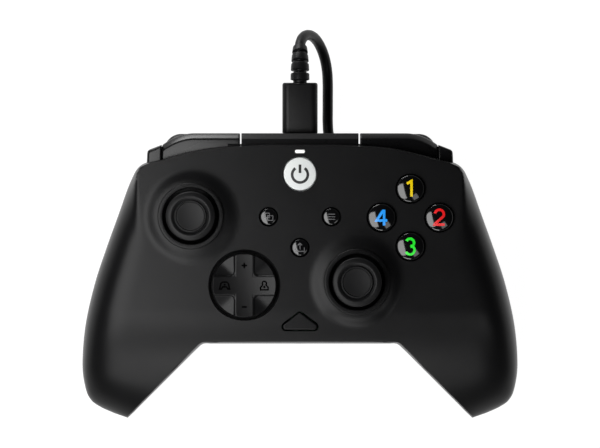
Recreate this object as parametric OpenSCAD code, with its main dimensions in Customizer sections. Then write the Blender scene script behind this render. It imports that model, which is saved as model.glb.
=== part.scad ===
// Wired gamepad controller, lying face up on a table.
// +X is to the player's right, +Y towards the bumpers and the cable, +Z up out of the face.
// The origin is under the middle of the body, on the table.

/* [Body] */
// Width over the two grips
body_w = 153; // [148:0.5:158]
// Height of the joint between the two shells
split_z = 26; // [25.5:0.1:26.5]
// Height of the flat face
face_z = 48; // [47.5:0.25:50]
// Height of the underside between the grips
belly_z = 22; // [21:0.25:22.4]
// How far the face falls towards the grip ends
face_fall = 15; // [10:0.5:17]
// Thickness of the shell walls
wall = 2.3; // [1.8:0.1:2.5]
// Rounding of the face along the outer sides
side_round = 9; // [7:0.5:10]
// Rounding of the face along the inner side of the grips
inner_round = 2; // [1.4:0.2:6]
// Rounding of the face along its back and front edges
rim_round = 1.4; // [1:0.1:2.4]
// Rounding of the grip ends
end_round = 10; // [6:0.5:12]
// Rounding of the underside along the outer sides
rear_side_round = 15; // [12:0.5:16]
// Rounding of the underside along the inner side of the grips
rear_inner_round = 12; // [9:0.5:13]
// Rounding of the underside along its back and front edges
rear_rim_round = 5; // [3.5:0.5:6]
// Depth by which the grips are flattened to stand on
skid_depth = 0.8; // [0.4:0.1:1]

/* [Sticks] */
// Left stick's distance from the middle
left_stick_x = -38.3; // [-39:0.1:-37]
// Left stick's distance towards the back
left_stick_y = 20.9; // [19.5:0.1:21]
// Right stick's distance from the middle
right_stick_x = 20; // [19:0.1:21]
// Right stick's distance towards the back
right_stick_y = -2.2; // [-3:0.1:-1]
// Diameter of the thumb cap
cap_d = 17.1; // [16:0.1:17.4]
// Thickness of the thumb cap
cap_h = 4.5; // [3.5:0.1:5]
// Height of the cap's underside above the face
cap_lift = 7.5; // [7.3:0.1:8.5]
// Diameter of the groove inside the cap's rim
groove_d = 13; // [12:0.1:13.5]
// Diameter of the thin ring on the cap
ring_d = 11; // [10.4:0.1:11.4]
// Diameter of the dish in the cap
dish_d = 9.1; // [8:0.1:9.6]
// Diameter of the neck under the cap
neck_d = 7.2; // [6.4:0.1:7.4]
// Radius of the dome that closes the stick's hole
dome_r = 11; // [10.8:0.05:11.2]
// Thickness of the dome
dome_wall = 1.2; // [0.8:0.1:1.3]
// Diameter of the hole in the collar
stick_hole_d = 19.6; // [19.4:0.1:20.4]
// Diameter of the collar
collar_d = 23.2; // [22.6:0.1:24]
// Height of the collar above the face
collar_h = 3; // [2:0.1:3.2]
// Diameter of the mound around the collar
mound_d = 35; // [30:0.1:35.5]
// Depth of the tilting centre below the face
pivot_depth = 9; // [8.8:0.1:9.2]

/* [Direction pad] */
// Pad's distance from the middle
pad_x = -19.5; // [-20.5:0.1:-18.5]
// Pad's distance towards the back
pad_y = -3.4; // [-4.5:0.1:-2.5]
// Diameter of the pad
pad_d = 21.4; // [20:0.1:21.8]
// Diameter of the hole around it
pad_hole_d = 24.3; // [24:0.1:25]
// Width of the cross's arms
arm_w = 6.6; // [5.5:0.1:7.5]
// Height of the cross above the face
arm_h = 2; // [1.2:0.1:2.6]

/* [Buttons] */
// Middle of the four face buttons, across
cluster_x = 38.7; // [38:0.1:39.4]
// Middle of the four face buttons, towards the back
cluster_y = 20.4; // [19.6:0.1:21]
// Distance of each face button from that middle
cluster_pitch = 10.1; // [9.8:0.05:10.6]
// Diameter of a face button
face_button_d = 9.6; // [9:0.1:9.8]
// Height of a face button's crown above the face
face_button_h = 2.6; // [2:0.1:3.2]
// Distance of the two upper small buttons from the middle
small_x = 11; // [10:0.1:12.5]
// Their distance towards the back
small_y = 20.7; // [19.5:0.1:22]
// The lowest small button's distance towards the back
share_y = 9.9; // [9:0.1:11]
// Diameter of a small button
small_d = 5.8; // [5:0.1:6.2]
// Height of a small button's crown above the face
small_h = 1; // [0.6:0.1:1.6]
// Home button's distance towards the back
home_y = 35.7; // [34.8:0.1:36]
// Diameter of the home button
home_d = 11.4; // [10.6:0.1:12]
// Function button's tip, towards the back
func_tip_y = -13; // [-13.4:0.1:-12.6]
// Function button's base, towards the back
func_base_y = -18.9; // [-19.4:0.1:-18.4]
// Half the width of the function button's base
func_half_w = 6; // [5:0.1:6.4]
// Indicator's distance towards the back
lens_y = 43.6; // [43:0.1:43.6]
// Length of the indicator
lens_w = 3.5; // [2.5:0.1:4.5]
// Width of the indicator
lens_h = 1.2; // [0.8:0.1:1.4]

/* [Back edge] */
// Reach of the bumpers towards the back
back_y = 50; // [49.6:0.1:50.4]
// Half the width of the middle bridge
bridge_half_w = 20.55; // [19.8:0.05:20.6]
// Gap between the bridge and each bumper
bumper_slit = 0.5; // [0.4:0.05:0.8]
// Outer end of each bumper from the middle
bumper_end_x = 48.3; // [47.6:0.1:48.4]
// Height of the underside of the bumpers
bumper_low_z = 34.5; // [34.5:0.1:35]
// Width of the sloped edge of the bumpers
bumper_slope = 2; // [1.4:0.1:2.4]
// Inner side of each trigger from the middle
trigger_in_x = 30.5; // [30.2:0.1:31]
// Outer side of each trigger from the middle
trigger_out_x = 48.2; // [47.4:0.1:48.2]
// Height of the trigger's lower tip
trigger_tip_z = 11; // [10.8:0.1:12]
// Trigger axle's distance towards the back
axle_y = 38.5; // [38.4:0.1:38.8]
// Trigger axle's height
axle_z = 33.5; // [33.3:0.1:33.6]

/* [Pins and screws] */
// Diameter of the trigger axles and bumper pins
axle_d = 2.4; // [2:0.1:2.6]
// Diameter of the stick's pins
stick_pin_d = 2; // [1.6:0.1:2.2]
// Diameter of the stick's shaft
shaft_d = 3.2; // [2.8:0.1:3.4]
// Diameter of a shell screw's shank
screw_d = 2.4; // [2:0.1:2.6]
// Diameter of a shell screw's head
screw_head_d = 4.8; // [4.2:0.1:5]
// Height of a screw head
screw_head_h = 1.6; // [1.2:0.1:1.8]
// Diameter of a board screw's shank
board_screw_d = 2; // [1.6:0.1:2.2]

/* [Sockets and cable] */
// Radius of the headset socket's hole
jack_r = 1.8; // [1.75:0.05:1.9]
// Radius of the headset socket's barrel
jack_body_r = 2.6; // [2.5:0.05:2.7]
// Length of the headset socket
jack_len = 14; // [12:0.5:15]
// Height of the cable socket's middle
usb_z = 36; // [35.6:0.1:36.4]
// Width of the plug's grip
plug_w = 12.4; // [11.5:0.1:13]
// Thickness of the plug's grip
plug_h = 6.6; // [6:0.1:7.4]
// Length of the plug's grip
plug_len = 17.4; // [16:0.1:18]
// Diameter of the bend relief
boot_d = 6.7; // [6:0.1:7]
// Diameter of the cable
cable_d = 3.7; // [3.5:0.05:3.7]

/* [Clearances] */
// Gap between a face button and its hole
button_gap = 0.35; // [0.25:0.05:0.5]
// Gap between a small button and its hole
small_gap = 0.45; // [0.3:0.05:0.6]
// Clearance of parts that move past each other
run_gap = 0.3; // [0.25:0.05:0.4]
// Radial clearance of a pin that turns
pin_gap = 0.05; // [0.03:0.01:0.08]
// Clearance of parts that are seated
seat_gap = 0.03; // [0.02:0.01:0.05]

/* [Hidden] */
$fn = 48;

// Stations along the body from the right grip's end to the middle: a point on the outer and back edge,
// the matching point on the inner and front edge, and how far each edge belongs to a grip.
outline = [
    [65.5, -48.3, 60.6, -50.0, 1.0, 1.0],
    [70.0, -46.25, 58.4, -47.95, 1.0, 1.0],
    [73.4, -43.8, 56.0, -45.5, 1.0, 1.0],
    [75.4, -39.6, 52.6, -42.1, 1.0, 1.0],
    [76.5, -31.0, 47.3, -36.8, 1.0, 1.0],
    [75.4, -17.3, 41.5, -31.0, 1.0, 1.0],
    [72.2, -3.0, 36.5, -26.0, 1.0, 0.6],
    [68.3, 9.0, 34.0, -24.0, 1.0, 0.2],
    [63.8, 21.5, 31.0, -23.9, 1.0, 0.0],
    [59.6, 33.0, 28.0, -23.9, 0.8, 0.0],
    [55.8, 38.9, 26.0, -23.9, 0.4, 0.0],
    [48.0, 41.3, 23.0, -23.9, 0.0, 0.0],
    [38.0, 44.0, 18.5, -23.9, 0.0, 0.0],
    [28.0, 45.6, 14.0, -23.9, 0.0, 0.0],
    [14.0, 46.3, 7.0, -23.9, 0.0, 0.0],
    [0.0, 46.5, 0.0, -23.9, 0.0, 0.0]];
outline_w = 2 * max([for (s = outline) s[0]]);
widen = body_w / outline_w;
half_n = len(outline) - 1;
rib_n = 22;
col_n = 12;
// Crowding of the ribs towards the grip ends
rib_crowd = 1.5;
// Least rounding of the inner faces
min_round = 0.3;
// Inner ribs start this far along the stations, so that the grip ends have a wall
end_inset = wall / 3.6;

// The face starts to fall in front of this line
fall_y = -12;
fall_len = 38;
fall_power = 1.6;
// The grips hang down outside the first distance and are full at the second
grip_from_x = 38 * widen;
grip_full_x = 58 * widen;
// Behind the first line the grips rise again, and at the second by this share
grip_back_y = 14;
grip_end_y = 48;
grip_back_rise = 0.85;

// Heights of the inside
inner_z = face_z - wall;
pocket_z = face_z - 3.5;
pocket_y = 36;
pocket_half_w = 53.8;
edge_top_z = pocket_z - run_gap;
board_under = 0.4;
board_t = 1.6;
board_low = split_z + jack_body_r + board_under;
board_top = board_low + board_t;
board_back_y = 41.6;
board_wing_y = 34.2;
pivot_z = face_z - pivot_depth;

// Screws that hold the shells: place and height of the head's seat
belly_seat = belly_z + screw_head_h;
grip_seat = 19;
grip_screw_x = 62 * widen;
screw_sites = [for (s = [-1, 1],
    p = [[16, 36, belly_seat], [33, -16, belly_seat], [grip_screw_x, -33, grip_seat]])
    [s * p[0], p[1], p[2]]];
screw_len = 13;
post_r = 3.2;
seat_post_r = 4;
seat_t = 0.7;
well_gap = 0.5;
// Screws that hold the board
board_sites = [for (s = [-1, 1], p = [[20, 30], [35, -7]]) [s * p[0], p[1]]];
standoff_r = 2.6;
board_head_r = 1.9;
board_screw_len = 4;

// Collars and mounds around the sticks
collar_bevel = 0.4;
collar_step = 1.6;
mound_sink = 0.15;

// Thumb cap: edge points as the distance in from the rim, and the height above its underside or its top
cap_edge_low = [[1, 0], [0.25, 0.5], [0, 1.6]];
cap_edge_high = [[0.2, -0.5], [0.8, 0]];
groove_depth = 1;
groove_side = 0.3;
ring_h = 0.2;
dish_depth = 1.9;
dish_side = 0.4;
neck_flare = 0.7;

// Sticks' inner parts, measured from the tilting centre
base_wall_in = 5.2;
base_wall = 1;
base_out = base_wall_in + base_wall;
base_half_w = 3;
base_up = 1.8;
base_floor = 1.4;
base_drop = pivot_z - board_top;
cradle_x = base_wall_in - 2 * run_gap;
cradle_y = 3.6;
cradle_h = 1.4;
cradle_slot_x = 3.4;
cradle_slot_y = 1.9;
cross_pin_d = 1.4;
yoke_in = 4.2;
yoke_out = base_wall_in - run_gap;
yoke_half_w = 2.6;
yoke_low = 3.8;
yoke_high = 5;
yoke_slot_y = 3.4;
shaft_low = 4.6;
shaft_foot_r = 2.2;
shaft_foot_h = 1;
shaft_high = 14.4;
hub_low = 6.8;
hub_r = 3;
click = 0.8;
dome_cover = 68;
sensor_t = 2;
sensor_up = 1;
spring_in = 2;
spring_out = 2.8;
spring_gap = 0.9;

// Direction pad's inner parts
pad_pivot_z = face_z - 8;
pad_pin_r = 0.9;
pad_block = 2.2;
pad_ear_in = 2.7;
pad_ear_out = 4.4;
pad_ear_half_w = 2;
pad_ear_drop = 1.6;
pad_skirt_r = 12.6;
pad_skirt_low = pad_pivot_z + 2.6;
pad_skirt_h = 0.8;
pad_core_r = 10;
pad_rim_h = 1.2;
pad_dish_h = 0.2;
pad_bevel = 0.4;
pad_rim_w = 1.6;
pad_foot_h = 2.4;

// Buttons' inner parts
flange_w = 0.8;
flange_h = 1.2;
flange_top = inner_z - run_gap;
stem_r = 3;
membrane_t = 1;
membrane_h = 2.7;
stem_low = board_top + membrane_h + run_gap;
switch_h = 1;
switch_w = 4.2;
small_stem_r = 1.8;
switch_gap = 0.7;
small_stem_low = board_top + switch_h + switch_gap;
func_round = 1.1;
func_flange_top = face_at(func_base_y - flange_w) - wall - run_gap;
crown_share = 0.55;

// Back edge's inner parts
bridge_in_y = 43;
bumper_in_y = 42.4;
bumper_in_z = 38.2;
bumper_bend_x = 34;
bumper_bend = 5;
bumper_in_bend = 2.4;
bumper_under = 2.5;
hinge_inset = 2.45;
hinge_x = bridge_half_w + bumper_slit + hinge_inset;
hinge_y = 44.6;
lug_half_w = 1.4;
lug_reach = 1.5;
lug_low = [35.2, 36.4];
lug_high = [42.4, 43.6];
cap_gap = run_gap;
cap_reach = 5.1;
cap_front_y = 37.2;
// Outline of a shoulder cap: share of its width, and distance in from the bumper's end
cap_curve = [[0, 0.2], [0.4, 0.8], [0.85, 3.6], [1, 5.4]];
trigger_hub_r = 3.2;
trigger_top_z = bumper_low_z - 0.5;
trigger_lip = 1.8;
trigger_web = 5;
trigger_corner = 4.5;
spring_w = 3.2;
spring_room = 4.2;
spring_wire = 0.8;
arm_t = 1.2;
well_front_y = board_wing_y + 2 * run_gap;
well_wall = 1.4;
wing_back_y = back_y - 3.7;
wing_bevel = 1;
arm_from_y = 29;
arm_to_y = 41.5;
arm_top_z = 36.5;

// Vibration motors
motor_x = 60 * widen;
motor_z = 15;
motor_r = 6.5;
motor_from_y = -16;
motor_len = 13;
spindle_r = 1;
spindle_in = 8;
weight_r = 8 * widen;
weight_t = 6;
weight_gap = 2;
cradle_rib_t = 3;
cradle_rib_half_w = 5;
cradle_rib_low = 1.2;
cradle_rib_in = 2;

// Cable socket and plugs
socket_w = 9.2;
socket_h = 3.6;
socket_wall = 0.3;
socket_front_y = back_y - 1.4;
socket_len = 10.6;
socket_depth = 7;
tongue_w = socket_w - 2 * socket_wall - 0.2;
tongue_h = socket_h - 2 * socket_wall - 0.2;
tongue_end_y = socket_front_y - socket_depth + 0.6;
plug_round = 2.4;
plug_end_y = back_y + plug_len;
boot_bend_r = 19.6;
boot_bend = 40;
boot_ribs = 4;
boot_rings = 5;
boot_notch = 0.9;
boot_sides = 12;
boot_end = [0, plug_end_y + boot_bend_r * sin(boot_bend), usb_z - boot_bend_r * (1 - cos(boot_bend))];

// Put-away cable: a round coil in four layers under the body
coil_x = 5;
coil_y = 10;
coil_r = 30;
coil_pitch = 4.3;
coil_turns = 17.25;
coil_layers = 4;
coil_rings = 24;
coil_sides = 6;
layer_turns = coil_turns / coil_layers;
tie_t = 0.8;
tie_w = 8;
tie_low = 0.1;
tie_angle = 135;
tie_round = 1.5;
coil_z = tie_low + tie_t + run_gap + cable_d / 2;
coil_start = [coil_x + coil_r, coil_y + cable_d, coil_z];
coil_end = [coil_x - cable_d, coil_y - coil_r, coil_z + (coil_layers - 1) * coil_pitch];
cable_sides = 8;
cable_steps = 2;

// Host plug, lying beside the coil
host_x = -37;
host_y = -3;
host_w = 16;
host_h = 8;
host_len = 28;
host_round = 2.5;
host_z = host_h / 2 + 0.3;
host_shell_w = 12;
host_shell_h = 4.5;
host_shell_len = 12;

// The cable turns down behind the plug, comes back under the body and runs into the coil
cable_route = [boot_end, [0.1, 81.6, 30.1], [0.8, 83.4, 27.6], [2, 84.5, 24.6], [3.6, 84.6, 21.4],
    [5.2, 83.6, 18], [6.7, 81.6, 15], [8, 78.8, 12.6], [9, 75.4, 10.8], [9.6, 71.6, 9.3],
    [9.8, 67.4, 7.6], [9.8, 63, 5.6], [9.8, 58.5, 3.7], [9.8, 54, 2.4], [10.2, 49.6, 2],
    [12, 45.8, 2], [15.4, 42.4, 2], [19.4, 39.4, 2], [23.2, 36, 2.1], [26.8, 32.2, 2.3],
    [30.2, 27.8, 2.6], [32.8, 22.8, 2.9], [34.4, 18.4, 3], coil_start];
tail_route = [coil_end, [-3, -19.8, 15.9], [-7.6, -19.8, 15.5], [-12.2, -19.6, 14.6],
    [-16.8, -19.2, 13.2], [-21.2, -18.4, 11.5], [-25.4, -17.2, 9.6], [-29.4, -15.2, 7.8],
    [-32.8, -12.4, 6.3], [-35.2, -9.2, 5.2], [-36.6, -6, 4.5], [host_x, host_y, host_z]];

// Curves and surfaces
function mix(a, b, t) = a + (b - a) * t;
function clamp01(t) = min(1, max(0, t));
function ease(a, b, v) = let (t = clamp01((v - a) / (b - a))) t * t * (3 - 2 * t);
function spline(p, u) = let (n = len(p) - 1, i = min(n - 1, floor(u)), t = u - i,
    b = p[i], c = p[i + 1], a = i > 0 ? p[i - 1] : 2 * b - c, d = i + 1 < n ? p[i + 2] : 2 * c - b)
    ((2 * b) + (c - a) * t + (2 * a - 5 * b + 4 * c - d) * t * t + (3 * b - a - 3 * c + d) * t * t * t) / 2;
function unit(v) = v / norm(v);
function edge_curve(d, r) = let (q = 1 - clamp01(d / r)) sqrt(1 - q * q);

// The whole row of stations, from the left grip's end to the right one's
function mirrored(s) = [-s[0], s[1], -s[2], s[3], s[4], s[5]];
stations = concat([for (s = outline) mirrored(s)], [for (i = [half_n - 1:-1:0]) outline[i]]);
function rib_place(k) = let (f = half_n * pow(1 - abs(k) / rib_n, rib_crowd)) k < 0 ? f : 2 * half_n - f;
function station(k, inset) = let (u = rib_place(k), s = spline(stations, mix(inset, 2 * half_n - inset,
    u / (2 * half_n)))) [s[0] * widen, s[1], s[2] * widen, s[3], s[4], s[5]];

end_a = [outline[0][0] * widen, outline[0][1]];
end_b = [outline[0][2] * widen, outline[0][3]];
end_normal = unit([end_b.y - end_a.y, end_a.x - end_b.x]);
function end_distance(p) = max(0, ([abs(p.x), p.y] - end_b) * end_normal);

function face_at(y) = face_z - face_fall * pow(max(0, fall_y - y) / fall_len, fall_power);
function under_at(x, y) = mix(belly_z, -skid_depth,
    ease(grip_from_x, grip_full_x, abs(x)) * (1 - grip_back_rise * ease(grip_back_y, grip_end_y, y)));

// One point of a shell, at a rib and a column, for the outer face (inset 0) or the inner face (inset wall)
function shell_point(k, j, front, inset) = let (
    s = station(k, inset > 0 ? end_inset : 0),
    u = [s[0], s[1]],
    l = [s[2], s[3]],
    w = norm(u - l),
    t = mix(inset / w, 1 - inset / w, (1 - cos(180 * j / col_n)) / 2),
    p = mix(u, l, t),
    round_u = mix(front ? rim_round : rear_rim_round, front ? side_round : rear_side_round, clamp01(s[4])),
    round_l = mix(front ? rim_round : rear_rim_round, front ? inner_round : rear_inner_round, clamp01(s[5])),
    full = front ? face_at(p.y) - inset : under_at(p.x, p.y) + inset,
    e = edge_curve(t * w - inset, max(min_round, round_u - inset))
        * edge_curve((1 - t) * w - inset, max(min_round, round_l - inset))
        * (abs(k) == rib_n ? 0 : edge_curve(end_distance(p) - inset, end_round - inset)))
    [p.x, p.y, mix(split_z, full, j == 0 || j == col_n ? 0 : e)];

// A hollow half of the body: outer face, inner face and the flat rim between them
module shell_half(front) {
    row = col_n + 1;
    rows = 2 * rib_n + 1;
    points = [for (inset = [0, wall], k = [-rib_n:rib_n], j = [0:col_n]) shell_point(k, j, front, inset)];
    inner = row * rows;
    loop = concat([for (i = [0:rows - 2]) i * row], [for (j = [0:row - 2]) (rows - 1) * row + j],
        [for (i = [rows - 1:-1:1]) i * row + row - 1], [for (j = [row - 1:-1:1]) j]);
    outer_quads = [for (i = [0:rows - 2], j = [0:row - 2])
        let (a = i * row + j, b = a + row)
        (i < rib_n) == (j < col_n / 2) ? [a, b, b + 1, a + 1] : [b, b + 1, a + 1, a]];
    inner_quads = [for (q = outer_quads) [for (i = [0, 3, 2, 1]) q[i] + inner]];
    rim_quads = [for (i = [0:len(loop) - 1]) let (a = loop[i], b = loop[(i + 1) % len(loop)])
        [b, a, a + inner, b + inner]];
    quads = concat(rim_quads, outer_quads, inner_quads);
    polyhedron(points, [for (q = quads, t = [[0, 1, 2], [0, 2, 3]])
        front ? [q[t[0]], q[t[1]], q[t[2]]] : [q[t[2]], q[t[1]], q[t[0]]]]);
}

// A closed solid through a row of rings that run the same way round
module skin(rings) {
    n = len(rings[0]);
    last = (len(rings) - 1) * n;
    polyhedron([for (r = rings) each r], concat(
        [for (i = [0:len(rings) - 2], j = [0:n - 1], t = [0, 1]) let (a = i * n + j, b = i * n + (j + 1) % n)
            t == 0 ? [a, a + n, b + n] : [a, b + n, b]],
        [for (j = [1:n - 2]) [0, j, j + 1]],
        [for (j = [1:n - 2]) [last, last + j + 1, last + j]]));
}

// Rings of a round tube along a path, kept level by a reference direction
function path_dir(path, i) = unit(path[min(i + 1, len(path) - 1)] - path[max(i - 1, 0)]);
function tube_ring(c, dir, ref, r, sides) = let (n = unit(ref - (ref * dir) * dir), b = cross(dir, n))
    [for (j = [0:sides - 1]) c + r * (cos(360 * (j + 0.5) / sides) * n + sin(360 * (j + 0.5) / sides) * b)];
function fine_path(route, steps) = [for (i = [0:(len(route) - 1) * steps]) spline(route, i / steps)];
function path_len(path) = len(path) < 2 ? 0 :
    [for (i = [1:len(path) - 1]) norm(path[i] - path[i - 1])] * [for (i = [1:len(path) - 1]) 1];

module tube(path, first_dir, last_dir, ref, sides) {
    n = len(path) - 1;
    skin([for (i = [0:n]) let (dir = i == 0 ? first_dir : i == n ? last_dir : path_dir(path, i))
        tube_ring(path[i], dir, ref, cable_d / 2, sides)]);
}

// A straight profile drawn in Y and Z and run along X
module along_x(from, to) {
    translate([from, 0, 0]) rotate([90, 0, 90]) linear_extrude(to - from) children();
}

// A profile drawn in X and Z and run along Y
module along_y(from, to) {
    translate([0, to, 0]) rotate([90, 0, 0]) linear_extrude(to - from) children();
}

module rounded_box_profile(w, h, r) {
    square([w - 2 * r, h], center = true);
    square([w, h - 2 * r], center = true);
    for (x = [-1, 1], y = [-1, 1]) translate([x * (w / 2 - r), y * (h / 2 - r)]) circle(r);
}

module rod(p, r, from, to) {
    translate([p[0], p[1], from]) cylinder(h = to - from, r = r);
}

module pin_x(r, from, to) {
    translate([from, 0, 0]) rotate([0, 90, 0]) cylinder(h = to - from, r = r);
}

module pin_y(r, from, to) {
    translate([0, from, 0]) rotate([-90, 0, 0]) cylinder(h = to - from, r = r);
}

module right_and_left() {
    children();
    mirror([1, 0, 0]) children();
}

function stick_sites() = [[left_stick_x, left_stick_y], [right_stick_x, right_stick_y]];
function cluster_site(a) = [cluster_x + cluster_pitch * cos(a), cluster_y + cluster_pitch * sin(a)];
cluster_angles = [90, 180, 0, 270];
small_sites = [[-small_x, small_y], [small_x, small_y], [0, share_y]];
home_site = [0, home_y];
func_site = [0, (func_tip_y + 2 * func_base_y) / 3];

module func_profile(grow) {
    hull() for (p = [[0, func_tip_y - func_round], [-func_half_w + func_round, func_base_y + func_round],
        [func_half_w - func_round, func_base_y + func_round]]) translate(p) circle(func_round + grow);
}

module lens_profile(grow) {
    square([lens_w - lens_h, lens_h + 2 * grow], center = true);
    for (s = [-1, 1]) translate([s * (lens_w - lens_h) / 2, 0]) circle(lens_h / 2 + grow);
}

// Shells
module stick_mound() {
    hole_r = stick_hole_d / 2;
    collar_r = collar_d / 2;
    top = face_z + collar_h;
    slope = (mound_d - collar_d) / 2;
    mound_low = face_z - mound_sink;
    rotate_extrude() polygon(concat([[hole_r, inner_z - mound_sink], [hole_r, top - collar_bevel],
        [hole_r + collar_bevel, top], [collar_r - collar_bevel, top], [collar_r, top - collar_bevel]],
        [for (t = [0:0.125:1])
            [collar_r + slope * t, mound_low + (collar_h - collar_step) * (1 - ease(0, 1, t))]],
        [[mound_d / 2, inner_z - mound_sink]]));
}

module front_shell() color([0.13, 0.13, 0.14]) difference() {
    union() {
        difference() {
            shell_half(true);
            translate([-pocket_half_w, pocket_y, split_z - 1])
                cube([2 * pocket_half_w, back_y, pocket_z - split_z + 1]);
            for (p = stick_sites()) rod(p, stick_hole_d / 2 + collar_bevel, split_z, face_z + 1);
        }
        for (p = stick_sites()) translate([p.x, p.y, 0]) stick_mound();
        for (s = screw_sites) rod(s, post_r, split_z, face_at(s[1] - post_r) - wall / 4);
    }
    rod([pad_x, pad_y], pad_hole_d / 2, pad_pivot_z, face_z + 1);
    for (a = cluster_angles) rod(cluster_site(a), face_button_d / 2 + button_gap, pivot_z, face_z + 1);
    for (p = small_sites) rod(p, small_d / 2 + small_gap, pivot_z, face_z + 1);
    rod(home_site, home_d / 2 + button_gap, pivot_z, face_z + 1);
    translate([0, 0, pivot_z]) linear_extrude(face_z) func_profile(small_gap);
    translate([0, lens_y, pocket_z - 1]) linear_extrude(face_z) lens_profile(seat_gap);
    for (s = screw_sites) rod(s, screw_d / 2 + seat_gap, split_z - 1, s[2] + screw_len + 1);
    translate([0, -back_y, split_z]) pin_y(jack_body_r + seat_gap, 0, back_y);
}

module motor_rib(y) {
    translate([motor_x - cradle_rib_half_w, y, cradle_rib_low])
        cube([2 * cradle_rib_half_w, cradle_rib_t, motor_z - motor_r / 2 - cradle_rib_low]);
}

module trigger_well_wall() {
    xs = [for (t = [0:0.125:1]) mix(trigger_in_x - run_gap, trigger_out_x + run_gap, t)];
    top = board_low - run_gap;
    along_y(well_front_y - well_wall, well_front_y) polygon(concat(
        [for (x = xs) [x, under_at(x, well_front_y) + wall / 2]], [[xs[len(xs) - 1], top], [xs[0], top]]));
}

module rear_shell() color([0.12, 0.12, 0.13]) difference() {
    union() {
        shell_half(false);
        for (s = screw_sites)
            rod(s, seat_post_r, s[2] == grip_seat ? cradle_rib_low : s[2] - seat_t, split_z);
        for (p = board_sites) rod(p, standoff_r, belly_z + wall / 2, board_low);
        right_and_left() {
            for (y = [cradle_rib_in, motor_len - cradle_rib_in - cradle_rib_t]) motor_rib(motor_from_y + y);
            trigger_well_wall();
        }
    }
    translate([-body_w, -body_w, -split_z]) cube([2 * body_w, 2 * body_w, split_z]);
    right_and_left() translate([trigger_in_x - run_gap, well_front_y, -1])
        cube([trigger_out_x - trigger_in_x + 2 * run_gap, back_y, split_z + 2]);
    for (s = screw_sites) {
        rod(s, screw_d / 2 + run_gap, -1, split_z + 1);
        rod(s, screw_head_d / 2 + well_gap, -1, s[2]);
    }
    for (p = board_sites)
        rod(p, board_screw_d / 2 + seat_gap, board_top - board_screw_len - run_gap, board_top);
    right_and_left() translate([motor_x, 0, motor_z])
        pin_y(motor_r + seat_gap, motor_from_y - 1, motor_from_y + motor_len + 1);
    translate([0, outline[half_n][3], split_z]) pin_y(jack_body_r + seat_gap, -back_y, jack_len + 1);
}

// Back edge
function edge_profile(y_in, y_out, low) = [[y_in, low], [y_out - bumper_slope, low],
    [y_out, low + bumper_under], [y_out, edge_top_z - bumper_slope], [y_out - bumper_slope, edge_top_z],
    [y_in, edge_top_z]];

module hinge_lugs() {
    for (z = [lug_low, lug_high]) translate([bridge_half_w - 1, hinge_y - lug_half_w, z[0]])
        cube([hinge_x + lug_reach - bridge_half_w + 1, 2 * lug_half_w, z[1] - z[0]]);
}

module top_bridge() color([0.16, 0.16, 0.17]) difference() {
    union() {
        along_x(-bridge_half_w, bridge_half_w) polygon(edge_profile(bridge_in_y, back_y, split_z));
        along_x(run_gap - trigger_in_x, trigger_in_x - run_gap) polygon([[bridge_in_y, split_z],
            [wing_back_y - wing_bevel, split_z], [wing_back_y, split_z + wing_bevel],
            [wing_back_y, trigger_top_z - wing_bevel], [wing_back_y - wing_bevel, trigger_top_z],
            [bridge_in_y, trigger_top_z]]);
        right_and_left() {
            hinge_lugs();
            rod([hinge_x, hinge_y], axle_d / 2, lug_low[0], lug_high[1]);
        }
    }
    translate([0, 0, usb_z]) along_y(bridge_in_y - 1, back_y + 1)
        rounded_box_profile(socket_w + 2 * run_gap, socket_h + 2 * run_gap, socket_h / 2);
}

function bumper_ring(x) = let (q = pow(max(0, x - bumper_bend_x) / (bumper_end_x - bumper_bend_x), 2),
    p = edge_profile(bumper_in_y - bumper_in_bend * q, back_y - bumper_bend * q, bumper_low_z))
    [[x, p[0][0], bumper_in_z], for (i = [1:5]) [x, p[i][0], p[i][1]]];

module bumper() difference() {
    bends = [for (t = [0:0.25:1]) mix(bumper_bend_x, bumper_end_x, t)];
    skin([for (x = concat([hinge_x - hinge_inset], bends)) bumper_ring(x)]);
    for (z = [[bumper_low_z - 1, lug_low[1] + run_gap], [lug_high[0] - run_gap, face_z]])
        translate([bridge_half_w, bridge_in_y - lug_half_w, z[0]])
            cube([hinge_x + lug_reach + run_gap - bridge_half_w,
                hinge_y + 2 * lug_half_w + run_gap - bridge_in_y, z[1] - z[0]]);
    rod([hinge_x, hinge_y], axle_d / 2 + pin_gap, bumper_low_z - 1, face_z);
}

module left_bumper() color([0.2, 0.2, 0.21]) mirror([1, 0, 0]) bumper();
module right_bumper() color([0.2, 0.2, 0.21]) bumper();

module shoulder_caps() color([0.16, 0.16, 0.17]) {
    from_x = bumper_end_x + cap_gap;
    to_x = from_x + cap_reach;
    arm_x = trigger_out_x + run_gap + arm_t + run_gap;
    right_and_left() translate([0, 0, split_z]) linear_extrude(edge_top_z - split_z)
        polygon(concat([[from_x, arm_to_y + run_gap]],
            [for (c = cap_curve) [mix(from_x, to_x, c[0]), back_y - bumper_bend - c[1]]],
            [[to_x, cap_front_y], [arm_x, cap_front_y], [arm_x, arm_to_y + run_gap]]));
}

// Triggers
// The finger's side and the hidden side, as the distance in from the back and the height above the tip
finger_side = [[0, trigger_top_z - trigger_lip - trigger_tip_z], [2.5, 16], [3.4, 10.5], [2.6, 5],
    [0.5, 1.2]];
hidden_side = [[1.4, 0], [4, 0], [6.4, 6], [8, 12]];
function trigger_side(c) = [for (p = c) [back_y - p[0], trigger_tip_z + p[1]]];

module trigger_profile() {
    polygon(concat([[axle_y, axle_z + trigger_hub_r], [axle_y + trigger_hub_r, trigger_top_z],
        [back_y - trigger_lip, trigger_top_z]],
        fine_path(trigger_side(finger_side), 3), trigger_side(hidden_side),
        [[axle_y + trigger_hub_r / 2, axle_z - trigger_web], [axle_y - 1, axle_z - trigger_hub_r + 0.3]]));
}

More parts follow.
